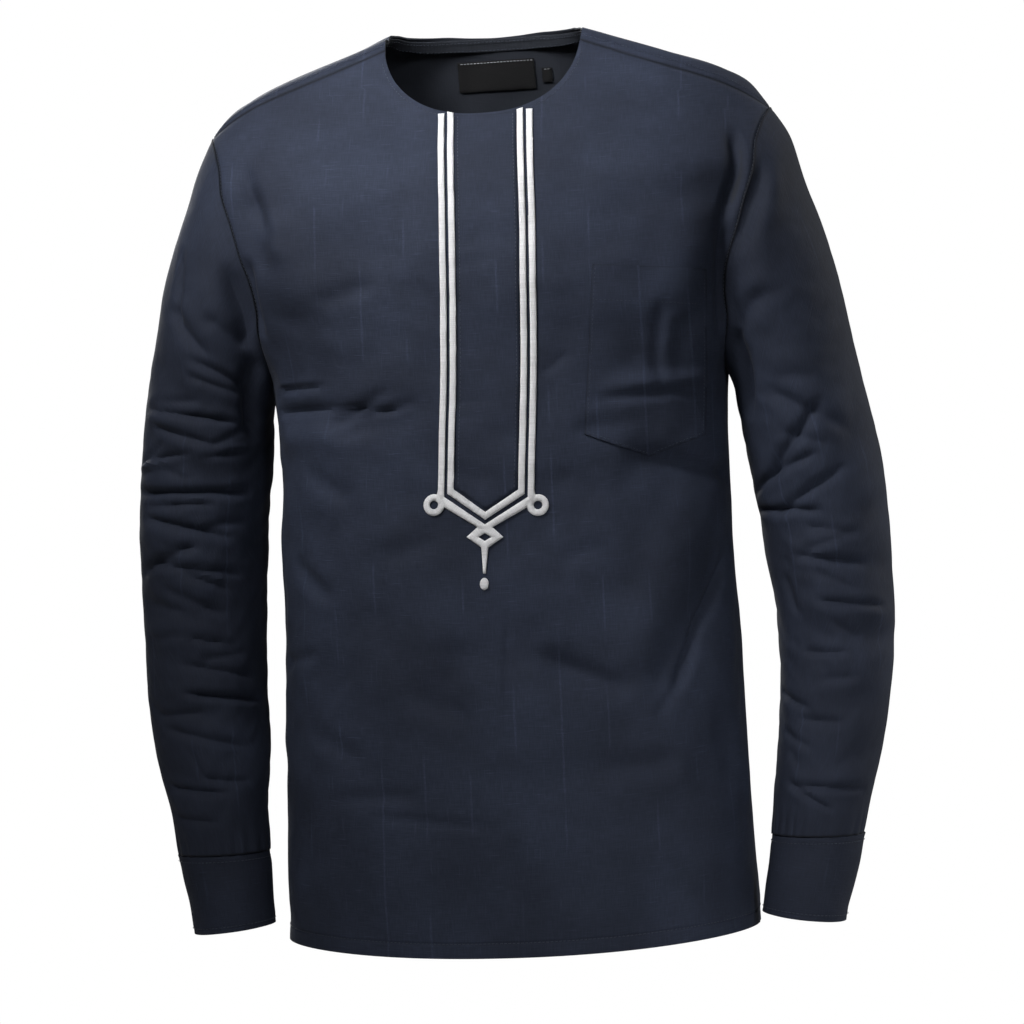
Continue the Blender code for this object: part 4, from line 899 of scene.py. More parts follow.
def outline_distance(xz, outlines):
    """Distance of each point to the nearest outline."""
    best = np.full(len(xz), 1.0)
    for outline in map(np.array, outlines):
        for p, q in zip(outline, np.roll(outline, -1, axis=0)):
            best = np.minimum(best, segment_distance(xz, p, q)[0])
    return best


def path_length(xz, paths):
    """Length along the nearest of the paths, for the direction of a band's stitches."""
    best, length = np.full(len(xz), 1.0), np.zeros(len(xz))
    for path in map(np.array, paths):
        run = 0.0
        for p, q in zip(path, path[1:]):
            size = np.linalg.norm(q - p)
            off, t = segment_distance(xz, p, q)
            length = np.where(off < best, run + t * size, length)
            best = np.minimum(best, off)
            run += size
    return length


def seat_on(tree, x, z, inside):
    """Where the cloth, or its edge near by, lies at x and z, seen from in front or from inside."""
    start_y = 0.0 if inside else -1.0
    hit = tree.ray_cast(Vector((x, start_y, z)), Vector((0.0, 1.0, 0.0)))[0]
    return tree.find_nearest(Vector((x, start_y * 0.12, z)))[0] if hit is None else hit


def lay_on(
    name, outlines, tree, thickness, cell, finish, lift, inside=False, crown=None, paths=None
):
    """A cut piece laid on the fine cloth; crown gives a raised band's half width and rise."""
    node = name.rsplit("_", 1)[0]
    work = flat_piece(outlines, *cell)
    work.verts.ensure_lookup_table()
    xz = np.array([(v.co.x, v.co.y) for v in work.verts])
    rise = np.zeros(len(xz))
    if crown:
        share = np.clip(outline_distance(xz, outlines) / crown[0], 0, 1)
        rise = crown[1] * np.sqrt(1 - (1 - share) ** 2)
    length = path_length(xz, paths) if paths else xz[:, 1]
    layer = work.loops.layers.uv.new("Cloth")
    for face in work.faces:
        for loop in face.loops:
            loop[layer].uv = (xz[loop.vert.index, 0], length[loop.vert.index])
    side = -1.0 if inside else 1.0
    for k, vert in enumerate(work.verts):
        hit = seat_on(tree, xz[k, 0], xz[k, 1], inside)
        vert.co = hit + Vector(form_normal(np.array(hit))) * side * (lift + thickness + rise[k])
    work.normal_update()
    if sum((face.normal.y for face in work.faces)) * side > 0:
        bmesh.ops.reverse_faces(work, faces=work.faces[:])
    mesh = bpy.data.meshes.new(name)
    work.to_mesh(mesh)
    work.free()
    # Painted shade round the edge of a flat laid piece.
    if not crown:
        paint_seam_shade(mesh, (outline_distance(xz, outlines) < 0.0003) * 0.65)
    made = add_piece(name, mesh, finish, node)
    add_wall(made, thickness, None if crown else thickness * 0.4)
    return made


def cloth_tree(piece):
    """A piece's faces, ready for rays."""
    verts = [v.co.copy() for v in piece.data.vertices]
    return BVHTree.FromPolygons(verts, [list(p.vertices) for p in piece.data.polygons])


def stitches(name, rows, finish, length=0.0024, step=0.0034, radius=0.00022):
    """Thread stitches along rows of surface points, each row an array of points with normals."""
    verts, faces = [], []
    for points, normals in rows:
        run = np.concatenate([[0], np.cumsum(np.linalg.norm(np.diff(points, axis=0), axis=1))])
        for start in np.arange(step * 0.4, run[-1] - length, step):
            ends = [start, start + length * 0.2, start + length * 0.8, start + length]
            at = np.stack([np.interp(ends, run, points[:, c]) for c in range(3)], axis=-1)
            up = np.stack([np.interp(ends[1], run, normals[:, c]) for c in range(3)])
            up /= np.linalg.norm(up)
            ahead = (at[3] - at[0]) / np.linalg.norm(at[3] - at[0])
            across = np.cross(ahead, up)
            base = len(verts)
            for place, size, lift in zip(at, (0.35, 1.0, 1.0, 0.35), (-0.7, 0.5, 0.5, -0.7)):
                for a in np.arange(6) * math.tau / 6:
                    offset = size * (across * math.cos(a) + up * math.sin(a))
                    verts.append(place + radius * (offset + up * lift))
            for ring in range(base, base + 18, 6):
                pairs = [(ring + k, ring + (k + 1) % 6) for k in range(6)]
                faces += [[a, b, b + 6, a + 6] for a, b in pairs]
            faces.append([base + k for k in range(5, -1, -1)])
            faces.append([base + 18 + k for k in range(6)])
    return add_mesh(name, verts, faces, finish)


def seated_row(tree, xz, lift=0.0, inside=False):
    """Points and normals on the cloth under a row of x and z, about 1.5 mm apart."""
    xz = np.array(xz, float)
    run = np.concatenate([[0], np.cumsum(np.linalg.norm(np.diff(xz, axis=0), axis=1))])
    at = np.linspace(0, run[-1], max(3, int(run[-1] / 0.0015)))
    places = zip(np.interp(at, run, xz[:, 0]), np.interp(at, run, xz[:, 1]))
    hits = np.array([seat_on(tree, x, z, inside) for x, z in places])
    normals = form_normal(hits) * (-1 if inside else 1)
    return raised(hits, normals, lift)


def raised(points, normals, lift=THREAD_LIFT):
    """A stitch row a little above its points."""
    return points + normals * lift, normals


class Nodes:
    """Short ways to add shader nodes to one material."""

    def __init__(self, name, roughness, sheen=0.0, specular=0.3):
        self.made = bpy.data.materials.new(name)
        self.made.use_nodes = True
        self.tree = self.made.node_tree
        self.shader = self.tree.nodes["Principled BSDF"]
        self.shader.inputs["Roughness"].default_value = roughness
        self.shader.inputs["Sheen Weight"].default_value = sheen
        self.shader.inputs["Sheen Roughness"].default_value = 0.4
        self.shader.inputs["Specular IOR Level"].default_value = specular

    def add(self, kind, inputs=(), **settings):
        """A node with its settings, and its inputs set or linked."""
        node = self.tree.nodes.new(kind)
        for key, value in settings.items():
            setattr(node, key, value)
        for key, value in dict(inputs).items():
            if isinstance(value, bpy.types.NodeSocket):
                self.tree.links.new(value, node.inputs[key])
            else:
                node.inputs[key].default_value = value
        return node

    def math(self, operation, a, b=0.0):
        """The result of an operation on numbers or sockets."""
        return self.add("ShaderNodeMath", {0: a, 1: b}, operation=operation).outputs[0]

    def plus(self, a, b):
        return self.math("ADD", a, b)

    def times(self, a, b):
        return self.math("MULTIPLY", a, b)

    def split(self, vector):
        return tuple(self.add("ShaderNodeSeparateXYZ", {0: vector}).outputs)

    def join(self, x, y=0.0, z=0.0):
        return self.add("ShaderNodeCombineXYZ", {0: x, 1: y, 2: z}).outputs[0]

    def noise(self, vector, scale=1.0, detail=2.0, roughness=0.5):
        inputs = {"Vector": vector, "Scale": scale, "Detail": detail, "Roughness": roughness}
        return self.add("ShaderNodeTexNoise", inputs).outputs[0]

    def streaks(self, across, along, seed=0.0, detail=1.0):
        """Noise scaled differently across and along the cloth."""
        u, v, _ = self.split(self.cloth())
        return self.noise(self.join(self.times(u, across), self.times(v, along), seed), 1.0, detail)

    def step(self, value, low, high, out_low=0.0, out_high=1.0):
        inputs = {0: value, 1: low, 2: high, 3: out_low, 4: out_high}
        return self.add("ShaderNodeMapRange", inputs, interpolation_type="SMOOTHSTEP").outputs[0]

    def mix(self, factor, a, b, blend="MIX"):
        made = self.add("ShaderNodeMix", {0: factor, 6: a, 7: b}, data_type="RGBA", blend_type=blend)
        return made.outputs[2]

    def shaded(self, colour, shade):
        return self.mix(1.0, colour, self.join(shade, shade, shade), "MULTIPLY")

    def place(self):
        return self.add("ShaderNodeTexCoord").outputs["Object"]

    def cloth(self):
        return self.add("ShaderNodeUVMap", uv_map="Cloth").outputs[0]

    def bump(self, height, distance, strength=1.0, under=None):
        inputs = {"Height": height, "Distance": distance, "Strength": strength}
        if under is not None:
            inputs["Normal"] = under
        return self.add("ShaderNodeBump", inputs).outputs[0]

    def finish(self, colour, normal):
        self.tree.links.new(colour, self.shader.inputs["Base Color"])
        self.tree.links.new(normal, self.shader.inputs["Normal"])
        return self.made


def linen_material(name, dark, light, stripes, hem_at=None):
    """Plain-woven linen: threads both ways, slubs and uneven dye, painted shade along seams, with stripes if
    asked, and if asked a hem and painted shade on the inside faces.
    """
    n = Nodes(name, 0.8, 0.02, 0.22)
    u, v, _ = n.split(n.cloth())
    cloudy = n.noise(n.place(), 9.0, 4.0, 0.6)
    threads = n.plus(n.streaks(1500.0, 90.0), n.streaks(70.0, 1500.0, 4.0))
    slub_across = n.step(n.streaks(45.0, 620.0, 9.0, 2.0), 0.62, 0.78)
    slub_down = n.times(n.step(n.streaks(560.0, 32.0, 2.0, 2.0), 0.62, 0.80), 0.8)
    slubs = n.math("MAXIMUM", slub_across, slub_down)
    speck_and_seam_shade = n.plus(n.step(threads, 0.75, 1.30, 0.86, 1.14), n.times(slubs, 0.42))
    if stripes:
        line = n.math("DIVIDE", n.plus(u, -STRIPE_AT), STRIPE_PITCH)
        nearest = n.math("FLOOR", n.plus(line, 0.5))
        off = n.times(n.math("ABSOLUTE", n.math("SUBTRACT", line, nearest)), STRIPE_PITCH)
        breaks = n.noise(n.join(n.times(nearest, 7.31), n.times(v, 13.0)), 1.0, 1.0)
        pale = n.times(n.step(off, 0.0005, 0.0012, 1.0, 0.0), n.step(breaks, 0.50, 0.60))
        pale = n.times(pale, n.step(n.streaks(900.0, 420.0, 3.0), 0.3, 0.7, 0.35, 1.0))
        speck_and_seam_shade = n.plus(speck_and_seam_shade, n.times(pale, STRIPE_STRENGTH))
    # Painted shade along seams and piece edges: the colour falls to 0.35 of itself where the seam mark is
    # full.
    seam = n.add("ShaderNodeAttribute", attribute_name="Seam").outputs["Fac"]
    speck_and_seam_shade = n.times(speck_and_seam_shade, n.step(seam, 0.1, 1.0, 1.0, 0.35))
    colour = n.shaded(n.mix(n.step(cloudy, 0.35, 0.68), dark, light), speck_and_seam_shade)
    normal = n.bump(n.plus(threads, n.times(slubs, 0.9)), 0.00016, 0.75)
    normal = n.bump(n.noise(n.place(), 62.0, 3.0, 0.55), 0.0011, 0.55, normal)
    if hem_at is not None:
        # Painted shade on the inside faces: where the normal points inward, the colour turns most of the way
        # to the greyer inside colour.
        x, y, _ = n.split(n.place())
        across, deep, _ = n.split(n.add("ShaderNodeTexCoord").outputs["Normal"])
        outward = n.plus(n.times(x, across), n.times(y, deep))
        colour = n.mix(n.step(outward, -0.03, -0.01, 0.85, 0.0), colour, INSIDE_PAINTED_SHADE)
        ridge = n.math("ABSOLUTE", n.math("SUBTRACT", v, hem_at))
        normal = n.bump(n.step(ridge, 0.0, 0.0022), 0.0006, 1.0, normal)
        normal = n.bump(n.step(v, hem_at - 0.001, hem_at + 0.001, 1.0, 0.0), 0.0006, 0.8, normal)
    return n.finish(colour, normal)


def satin_material(name):
    """White satin stitching: close threads across the band, a few proud of the rest."""
    n = Nodes(name, 0.42, 0.2)
    v = n.split(n.cloth())[1]
    row = n.plus(n.times(v, 1 / 0.00052), n.times(n.streaks(300.0, 260.0, 0.0, 2.0), 1.6))
    thread = n.math("ABSOLUTE", n.math("SINE", n.times(row, math.pi)))
    tone = n.streaks(40.0, 1200.0, 0.0, 2.0)
    shade = n.times(n.step(thread, 0.0, 0.75, 0.74, 1.0), n.step(tone, 0.3, 0.7, 0.92, 1.04))
    return n.finish(n.shaded(SATIN, shade), n.bump(n.plus(thread, tone), 0.00022, 0.9))


def thread_material(name, colour):
    """Twisted sewing thread."""
    n = Nodes(name, 0.6, 0.1)
    twist = n.noise(n.place(), 2600.0, 1.0)
    return n.finish(n.shaded(colour, n.step(twist, 0.3, 0.7, 0.75, 1.2)), n.bump(twist, 0.0001, 0.8))


def woven_label_material(name):
    """Black close-woven ribbon, bare."""
    n = Nodes(name, 0.6, specular=0.12)
    ribs = n.math("SINE", n.times(n.split(n.cloth())[1], math.tau / 0.00055))
    fine = n.streaks(1400.0, 900.0)
    shade = n.times(n.step(ribs, -1.0, 1.0, 0.75, 1.15), n.step(fine, 0.3, 0.7, 0.8, 1.2))
    return n.finish(n.shaded(LABEL, shade), n.bump(n.plus(ribs, fine), 0.0001, 0.8))


def button_material(name):
    """Dark swirled plastic."""
    n = Nodes(name, 0.28)
    swirl = n.noise(n.place(), 240.0, 3.0)
    colour = n.mix(n.step(swirl, 0.35, 0.65), BUTTON_DARK, BUTTON_LIGHT)
    return n.finish(colour, n.bump(swirl, 0.0001, 0.3))


def cuff_sections(side, rows, parts, heights):
    """Outer points of a cuff's overlapped band, at degrees from its start and heights 0 to 1."""
    turns = np.radians(CUFF_OVERLAP_AT - CUFF_OVERLAP / 2 + np.asarray(parts))
    points = sleeve_sections(rows, heights, turns, side)
    outward = points - sleeve_sections(rows, heights, turns + math.pi, side)
    outward[..., 2] = 0
    outward = outward / np.linalg.norm(outward, axis=2, keepdims=True)
    offsets = (CUFF_CLOTH + LAY_GAP) * ease((np.asarray(parts) - 285) / 60)
    return points + outward * offsets[None, :, None], outward


def dressed_cuff(word, side, rows, finish):
    """A cuff's fine cloth, and its stitch rows along both edges and down the overlap."""
    whole = 360 + CUFF_OVERLAP
    parts = np.linspace(0, whole, 160)
    points, outward = cuff_sections(side, rows, parts, np.linspace(0, 1, 22))
    down = edge_distance(points, 0, 0)
    u = np.radians(parts)[None, :] * 0.037 + 0 * down
    fall = down[-1:, :] - down
    inner_edge = np.minimum(down, fall)
    seam = bell(inner_edge - 0.0042, 0.0016) * 0.00035
    soft = waves(u, down, 31 + side, 0.03, 0.09, 10, 0.0009) * ease(inner_edge / 0.012)
    points = points + outward * (soft - seam)[..., None]
    uv = np.stack([u, fall], axis=-1)
    node = f"cuff_{word}"
    cuff = cloth_grid(f"{node}_cloth", points, uv, False, side > 0, CUFF_CLOTH, finish, node)
    stitched = []
    for share in (0.075, 0.925):
        at, out = cuff_sections(side, rows, parts, [share])
        stitched.append(raised(at[0], out[0]))
    at, out = cuff_sections(side, rows, [whole - 5.5], np.linspace(0.08, 0.92, 30))
    stitched.append(raised(at[:, 0], out[:, 0]))
    return cuff, stitched


def button_blank():
    """A button's turned body with a raised rim, its foot in the XY plane."""
    r, t = BUTTON_RADIUS, BUTTON_THICKNESS
    profile = [(0.0, 0.0), (r * 0.78, 0.0), (r * 0.95, t * 0.2), (r, t * 0.5), (r * 0.96, t * 0.85)]
    profile += [(r * 0.86, t), (r * 0.72, t * 0.97), (r * 0.60, t * 0.68)]
    profile += [(r * 0.45, t * 0.60), (0.0, t * 0.60)]
    work = bmesh.new()
    verts = [work.verts.new((x, 0, z)) for x, z in profile]
    geometry = verts + [work.edges.new(pair) for pair in zip(verts, verts[1:])]
    spin = {"axis": (0, 0, 1), "cent": (0, 0, 0), "angle": math.tau, "steps": 48, "use_merge": True}
    bmesh.ops.spin(work, geom=geometry, **spin)
    bmesh.ops.remove_doubles(work, verts=work.verts, dist=0.00002)
    bmesh.ops.recalc_face_normals(work, faces=work.faces)
    return work


def button_drill():
    """Four pins that cut a button's holes."""
    drill, size = bmesh.new(), {"radius1": HOLE_RADIUS, "radius2": HOLE_RADIUS, "depth": BUTTON_THICKNESS * 2}
    for x, y in ((1, 1), (1, -1), (-1, -1), (-1, 1)):
        hole = Matrix.Translation((x * HOLE_FROM_MIDDLE, y * HOLE_FROM_MIDDLE, BUTTON_THICKNESS / 2))
        bmesh.ops.create_cone(drill, cap_ends=True, segments=14, matrix=hole, **size)
    return drill


def dressed_button(word, side, rows, finish, thread):
    """A four-holed round button sewn on the cuff's overlap."""
    at = 360 + CUFF_OVERLAP / 2
    seats, outward = cuff_sections(side, rows, [at - 6, at, at + 6], [0.4, 0.5, 0.6])
    normal = Vector(seats[2, 1] - seats[0, 1]).cross(Vector(seats[1, 2] - seats[1, 0])).normalized()
    if normal.dot(Vector(outward[1, 1])) < 0:
        normal = -normal
    turn = normal.to_track_quat("Z", "Y").to_matrix().to_4x4()
    place = Matrix.Translation(Vector(seats[1, 1]) + normal * LAY_GAP) @ turn
    made = []
    for name, work in (("blank", button_blank()), ("drill", button_drill())):
        mesh = bpy.data.meshes.new(name)
        work.to_mesh(mesh)
        work.free()
        made.append(bpy.data.objects.new(name, mesh))
        bpy.context.scene.collection.objects.link(made[-1])
    body, cutter = made
    cut = body.modifiers.new("Holes", "BOOLEAN")
    cut.operation, cut.object, cut.solver = "DIFFERENCE", cutter, "EXACT"
    bpy.context.view_layer.update()
    holed = bpy.data.meshes.new_from_object(body.evaluated_get(bpy.context.evaluated_depsgraph_get()))
    bpy.data.objects.remove(body)
    bpy.data.objects.remove(cutter)
    holed.transform(place)
    holed.materials.clear()
    add_piece(f"button_{word}", holed, finish, f"cuff_button_{word}")
    holed.set_sharp_from_angle(angle=math.radians(35))
    run, crossed = np.linspace(-1, 1, 12), []
    for k in (-1, 1):
        height = BUTTON_THICKNESS * 0.62 + (0.0004 + 0.0002 * k) * (1 - run**2)
        local = np.stack([run * HOLE_FROM_MIDDLE, run * HOLE_FROM_MIDDLE * k, height], axis=-1)
        world = np.array([place @ Vector(p) for p in local])
        crossed.append((world, np.tile(np.array(normal), (len(run), 1))))
    sewing = stitches(f"button_thread_{word}", crossed, thread, 0.0029, 0.0006, 0.00028)


def build_neck_band(points, finish):
    """Narrow band inside the back of the neck, following the back panel's own edge."""
    corner, seam, middle = BODY_CELLS + CHEST_CELLS, SEAM_ROWS_BACK * FINE, HALF_CELLS
    inward = -form_normal(np.nan_to_num(points, nan=0.05))
    outer = middle + NECK_CELLS
    route = [((row, outer), (row, outer + FINE)) for row in range(corner + seam, corner, -1)]
    for k in range(NECK_CELLS, 0, -1):
        aside = FINE if k == NECK_CELLS else 0
        route.append(((corner, middle + k), (corner - FINE, middle + k + aside)))
    far = [tuple((row, 2 * middle - column) for row, column in pair) for pair in route]
    route = far + [((corner, middle), (corner - FINE, middle))] + route[::-1]
    rows, places = [], []
    for reach in np.linspace(BAND_MARGIN, BAND_MARGIN + BAND_HEIGHT, 7):
        row = []
        for edge, below in route:
            p, q = points[edge], points[below]
            part = reach / np.linalg.norm(q - p)
            direction = inward[edge] + (inward[below] - inward[edge]) * part
            row.append(p + (q - p) * part + direction * (CLOTH + BAND_GAP))
        rows.append(row)
        places.append([(k * 0.0022, reach) for k in range(len(route))])
    grid, uv = np.array(rows), np.array(places)
    band = cloth_grid("neck_band_cloth", grid, uv, False, True, PIECE_CLOTH, finish, "neck_band")
    normals = inward[tuple(np.array([edge for edge, _ in route]).T)]
    return band, [raised(grid[k], normals, PIECE_CLOTH + THREAD_LIFT) for k in (1, 5)]


def add_light(name, place, aim, size, power, spread):
    """A soft rectangular light."""
    data = bpy.data.lights.new(name, "AREA")
    data.shape = "RECTANGLE"
    data.size, data.size_y = size
    data.energy, data.spread = power, math.radians(spread)
    made = bpy.data.objects.new(name, data)
    bpy.context.scene.collection.objects.link(made)
    made.location = place
    made.rotation_euler = (Vector(aim) - Vector(place)).to_track_quat("-Z", "Y").to_euler()


def build_camera():
    """The photograph's view: a little from the wearer's left, and tilted."""
    data = bpy.data.cameras.new("camera")
    data.sensor_width, data.lens = 36.0, CAMERA_LENS
    data.clip_start, data.clip_end = 0.05, 60.0
    camera = bpy.data.objects.new("camera", data)
    bpy.context.scene.collection.objects.link(camera)
    sin, cos = math.sin(CAMERA_TURN), math.cos(CAMERA_TURN)
    roll_sin, roll_cos = math.sin(CAMERA_ROLL), math.cos(CAMERA_ROLL)
    across, up, back = Vector((cos, sin, 0)), Vector((0, 0, 1)), Vector((sin, -cos, 0))
    axes = (across * roll_cos - up * roll_sin, across * roll_sin + up * roll_cos, back)
    turn = Matrix(axes).transposed().to_4x4()
    camera.matrix_world = Matrix.Translation(CAMERA_AIM + back * CAMERA_DISTANCE) @ turn
    bpy.context.scene.camera = camera


def build_world():
    """White surroundings to the camera, and a little soft light to everything else."""
    world = bpy.data.worlds.new("studio")
    world.use_nodes = True
    bpy.context.scene.world = world
    tree = world.node_tree
    shown, ambient = tree.nodes["Background"], tree.nodes.new("ShaderNodeBackground")
    shown.inputs["Color"].default_value = (1.0, 1.0, 1.0, 1.0)
    shown.inputs["Strength"].default_value = 1.0
    ambient.inputs["Color"].default_value = (1.0, 0.98, 0.94, 1.0)
    ambient.inputs["Strength"].default_value = AMBIENT
    seen = tree.nodes.new("ShaderNodeLightPath")
    mix = tree.nodes.new("ShaderNodeMixShader")
    tree.links.new(seen.outputs["Is Camera Ray"], mix.inputs[0])
    tree.links.new(ambient.outputs[0], mix.inputs[1])
    tree.links.new(shown.outputs[0], mix.inputs[2])
    tree.links.new(mix.outputs[0], tree.nodes["World Output"].inputs["Surface"])


def build_floor():
    """A pale floor that fades out round its edge."""
    work = bmesh.new()
    bmesh.ops.create_circle(work, cap_ends=True, segments=96, radius=2.6)
    mesh = bpy.data.meshes.new("floor")
    work.to_mesh(mesh)
    work.free()
    floor = bpy.data.objects.new("floor", mesh)
    floor.location = (0, 0, FLOOR_Z)
    bpy.context.scene.collection.objects.link(floor)
    n = Nodes("pale_floor", 0.7)
    n.shader.inputs["Base Color"].default_value = (0.9, 0.9, 0.9, 1.0)
    n.shader.inputs["Emission Color"].default_value = (1.0, 1.0, 1.0, 1.0)
    glow = n.times(n.add("ShaderNodeLightPath").outputs["Is Camera Ray"], FLOOR_GLOW)
    n.tree.links.new(glow, n.shader.inputs["Emission Strength"])
    length = n.add("ShaderNodeVectorMath", {0: n.place()}, operation="LENGTH").outputs["Value"]
    clear = n.add("ShaderNodeBsdfTransparent")
    shown = {0: n.step(length, 1.0, 2.5), 1: n.shader.outputs[0], 2: clear.outputs[0]}
    fade = n.add("ShaderNodeMixShader", shown)
    n.tree.links.new(fade.outputs[0], n.tree.nodes["Material Output"].inputs["Surface"])
    mesh.materials.append(n.made)


def build_stage():
    """Camera, surroundings, soft studio lights and floor."""
    bpy.context.scene.view_settings.view_transform = "Standard"
    build_camera()
    build_world()
    for light in LIGHTS:
        add_light(*light)
    build_floor()


def build_ornament(tree, satin):
    """The outer and inner bands and the drop, with the paths that their stitches cross."""
    top = neck_edge_z(TRIM_INNER)
    middle_x, turn_z = TRIM_OUTER - TRIM_BAND / 2, TRIM_TURN_Z - 0.003
    ring = arc((TRIM_LOOP_X, TRIM_LOOP_Z), (TRIM_LOOP_RADIUS + TRIM_LOOP_HOLE) / 2, 150, -210, 40)
    across, up = DIAMOND_HALF_WIDTH * 0.68, DIAMOND_HALF_HEIGHT * 0.68
    outer = [band_side(middle_x, top, turn_z), [(middle_x, turn_z), (0.0, TRIM_POINT_Z - 0.003)], ring]
    outer += [[(0, DIAMOND_Z + up), (across, DIAMOND_Z), (0, DIAMOND_Z - up)]]
    outer += [mirrored(path) for path in outer] + [[(0, DIAMOND_Z - up), (0, STEM_FOOT_Z)]]
    inner = band_side(TRIM_INNER + TRIM_BAND / 2, top, TRIM_TURN_Z) + [(0.0, TRIM_POINT_Z + 0.007)]
    turns = np.linspace(0, math.tau, 29)[:-1]
    drop = leaned([(DROP_SIZE[0] * math.cos(a), DROP_Z + DROP_SIZE[1] * math.sin(a)) for a in turns])
    drop_x = drop[0][0] - DROP_SIZE[0]
    for name, outlines, paths in (
        ("trim_outer_satin", trim_outer_outlines(), [leaned(path) for path in outer]),
        ("trim_inner_satin", trim_inner_outlines(), [leaned(path) for path in (inner, mirrored(inner))]),
        ("trim_drop_satin", [drop], [[(drop_x, DROP_Z - 0.006), (drop_x, DROP_Z + 0.006)]]),
    ):
        crown, cell = (TRIM_BAND * 0.5, 0.0009), (0.0012, 0.0024)
        lay_on(name, outlines, tree, 0.0004, cell, satin, 0.0009, crown=crown, paths=paths)


def panel_rows(front, back):
    """Stitch rows of the body panels: hems, shoulder seams and armholes."""
    rows, sides = [], []
    for points, uv in (front, back):
        normals = form_normal(np.nan_to_num(points, nan=0.05))
        sides.append((points, normals))
        hem = [
            [np.interp(HEM_SEAM, uv[:8, k, 1], points[:8, k, c]) for c in range(3)]
            for k in range(points.shape[1])
        ]
        rows.append(raised(np.array(hem), normals[3]))
    points, normals = sides[1]
    for part in (slice(None, HALF_CELLS - NECK_CELLS + 1), slice(HALF_CELLS + NECK_CELLS, None)):
        rows.append(raised(points[-3, part], normals[-3, part]))
    for points, normals in sides:
        for column in (2, -3):
            rows.append(raised(points[BODY_CELLS:, column], normals[BODY_CELLS:, column]))
    return rows


def front_rows(tree, pocket_line):
    """Stitch rows on the front: placket edges, pocket edge, pocket mouth and neckline."""
    edge = PLACKET_HALF_WIDTH - 0.0018
    rows = []
    for x in (-edge, edge):
        line = leaned(band_side(x, neck_edge_z(edge) - 0.001, TRIM_TURN_Z + 0.004))
        rows.append(seated_row(tree, line, 0.0009))
    rows.append(seated_row(tree, pocket_inset(pocket_line, 0.0020), 0.0013))
    top_left, foot_left, _, foot_right, top_right = np.array(pocket_line)
    left = top_left + (foot_left - top_left) * 0.21 + (0.002, 0)
    right = top_right + (foot_right - top_right) * 0.21 - (0.002, 0)
    rows.append(seated_row(tree, [left, right], 0.0013))
    rows.append(seated_row(tree, [(x * 1.035, z) for x, z in neck_line(0.0035)], THREAD_LIFT))
    return rows


def rectangle(low_x, high_x, foot, top):
    """A rectangle's outline."""
    return [(low_x, foot), (high_x, foot), (high_x, top), (low_x, top)]


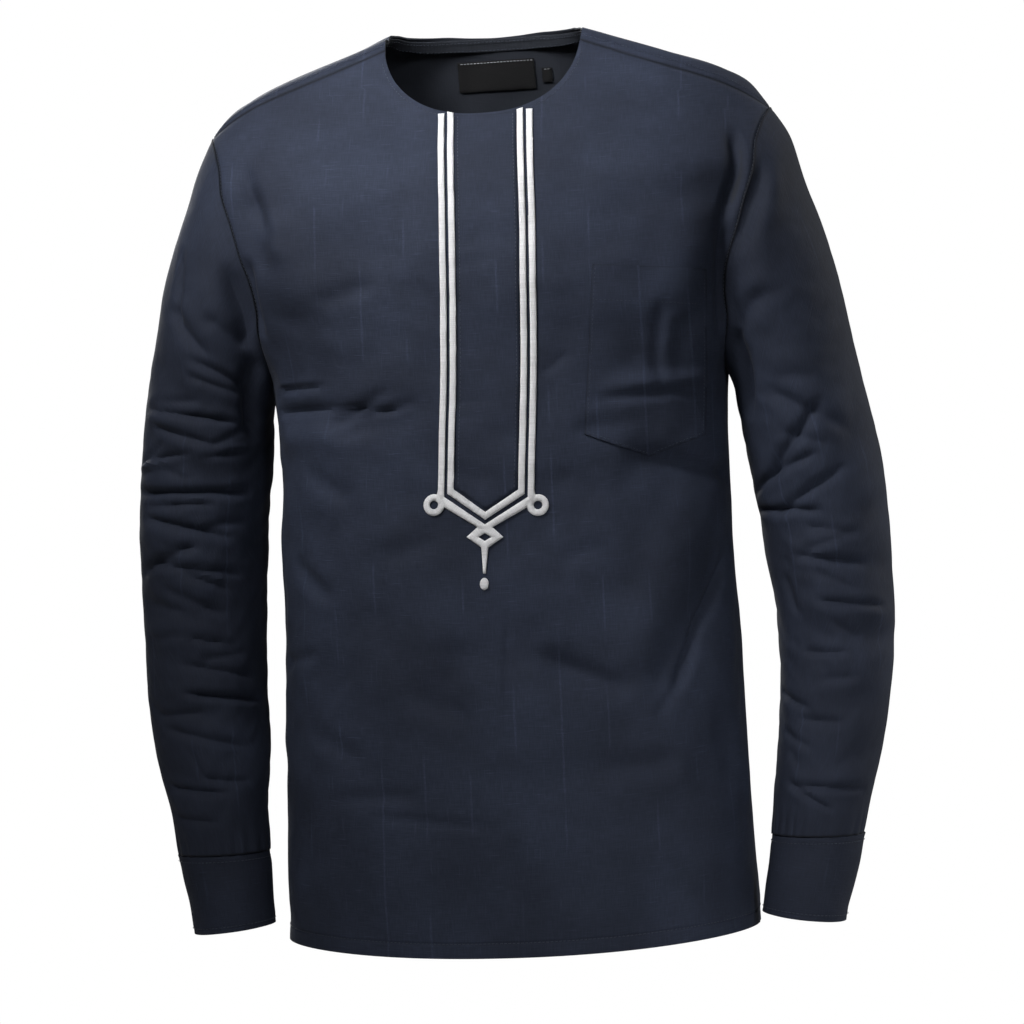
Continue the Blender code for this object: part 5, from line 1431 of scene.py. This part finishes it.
def build_shirt():
    """Every dressed piece with its material, in the place of its node."""
    linen = linen_material("navy_linen", LINEN_DARK, LINEN_LIGHT, True, HEM_SEAM)
    linen_plain = linen_material("navy_linen_pieces", LINEN_DARK, LINEN_LIGHT, True)
    # A copy of the linen with painted shade, darker for the sleeves and cuffs.
    painted_shade_colours = [[shade * SLEEVE_PAINTED_SHADE for shade in colour[:3]] + [1.0] for colour in (LINEN_DARK, LINEN_LIGHT)]
    sleeve_linen_painted_shade = linen_material("navy_linen_sleeves_painted_shade", *painted_shade_colours, True)
    facing = linen_material("dark_facing", FACING_DARK, FACING_LIGHT, False)
    satin = satin_material("white_satin_stitch")
    sewing = thread_material("navy_thread", THREAD)
    woven = woven_label_material("black_woven")
    plastic = button_material("navy_button")

    # The third values carry painted shade along the panels' seams.
    front_points, front_uv, front_seam_shade, front_edges = dressed_panel(False)
    back_points, back_uv, back_seam_shade, back_edges = dressed_panel(True)
    front = cloth_grid(
        "front_cloth", front_points, front_uv, False, False, CLOTH, linen, "front", seam=front_seam_shade
    )
    back = cloth_grid("back_cloth", back_points, back_uv, False, True, CLOTH, linen, "back", seam=back_seam_shade)
    sleeves, cuffs, rows = [], [], []
    for word, side, table, folds, creases, cuff in (
        ("left", 1, LEFT_SLEEVE, LEFT_FOLDS, LEFT_CREASES, LEFT_CUFF),
        ("right", -1, RIGHT_SLEEVE, RIGHT_FOLDS, RIGHT_CREASES, RIGHT_CUFF),
    ):
        edge = front_edges[side] + back_edges[side][-2:0:-1]
        # The third value is painted shade along the sleeve's seams.
        points, uv, seam = dressed_sleeve(side, table, folds, creases, edge, 40 + side)
        node = f"sleeve_{word}"
        made = cloth_grid(f"{node}_cloth", points, uv, True, side < 0, CLOTH, sleeve_linen_painted_shade, node, seam=seam)
        sleeves.append(made)
        made, stitched = dressed_cuff(word, side, cuff, sleeve_linen_painted_shade)
        cuffs.append(made)
        rows += stitched
        dressed_button(word, side, cuff, plastic, sewing)

    tree = cloth_tree(front)
    strip = placket_outlines()
    placket = lay_on("placket_cloth", strip, tree, 0.0006, (0.004, 0.004), linen_plain, 0.0003)
    pocket_line = [POCKET_TOP_LEFT, POCKET_FOOT_LEFT, POCKET_POINT, POCKET_FOOT_RIGHT, POCKET_TOP_RIGHT]
    cut = [pocket_line]
    pocket = lay_on("pocket_cloth", cut, tree, PIECE_CLOTH, SMALL_CELL, linen_plain, LAY_GAP)
    build_ornament(tree, satin)

    tree_behind = cloth_tree(back)
    lift = CLOTH + LAY_GAP
    low_x, high_x = TAB_MIDDLE_X - TAB_HALF_WIDTH, TAB_MIDDLE_X + TAB_HALF_WIDTH
    label_line = rectangle(-LABEL_HALF_WIDTH, LABEL_HALF_WIDTH, LABEL_FOOT_Z, LABEL_TOP_Z)
    tab_line = rectangle(low_x, high_x, TAB_FOOT_Z, TAB_TOP_Z)
    label, _ = (
        lay_on(name, [line], tree_behind, 0.0005, SMALL_CELL, woven, lift, True)
        for name, line in (("neck_label_ribbon", label_line), ("size_tab_ribbon", tab_line))
    )
    band, band_rows = build_neck_band(back_points, facing)

    rows += panel_rows((front_points, front_uv), (back_points, back_uv)) + front_rows(tree, pocket_line)
    stitches("topstitching", rows, sewing)
    stitches("band_stitching", band_rows, sewing)
    label_z, tab_z = LABEL_TOP_Z - 0.0014, TAB_TOP_Z - 0.0012
    label_run = [(-LABEL_HALF_WIDTH + 0.001, label_z), (LABEL_HALF_WIDTH - 0.001, label_z)]
    tab_run = [(low_x + 0.0008, tab_z), (high_x - 0.0008, tab_z)]
    label_rows = [seated_row(tree_behind, run, lift + 0.0009, True) for run in (label_run, tab_run)]
    pale = thread_material("pale_thread", PALE_THREAD)
    stitches("label_stitching", label_rows, pale, 0.0026, 0.0029, 0.00030)


def neck_line(inset):
    """The front neckline, set in by a distance, as x and z."""
    line = []
    for a in np.linspace(-0.86, 0.86, 90):
        x = NECK_HALF_WIDTH * math.sin(a * math.pi / 2)
        share = (abs(x) / NECK_HALF_WIDTH) ** ROUNDNESS
        line.append((x, -NECK_FRONT_DROP * (1 - share) ** (1 / ROUNDNESS) - inset))
    return line


def pocket_inset(line, inset):
    """The pocket's sides and foot, set in by a distance."""
    line = np.array(line)
    moved = line + np.sign(line.mean(axis=0) - line) * (inset, inset * 0.9)
    moved[2] = line[2] + (0, inset * 1.15)
    return moved


build_stage()
build_shirt()

bpy.context.view_layer.update()
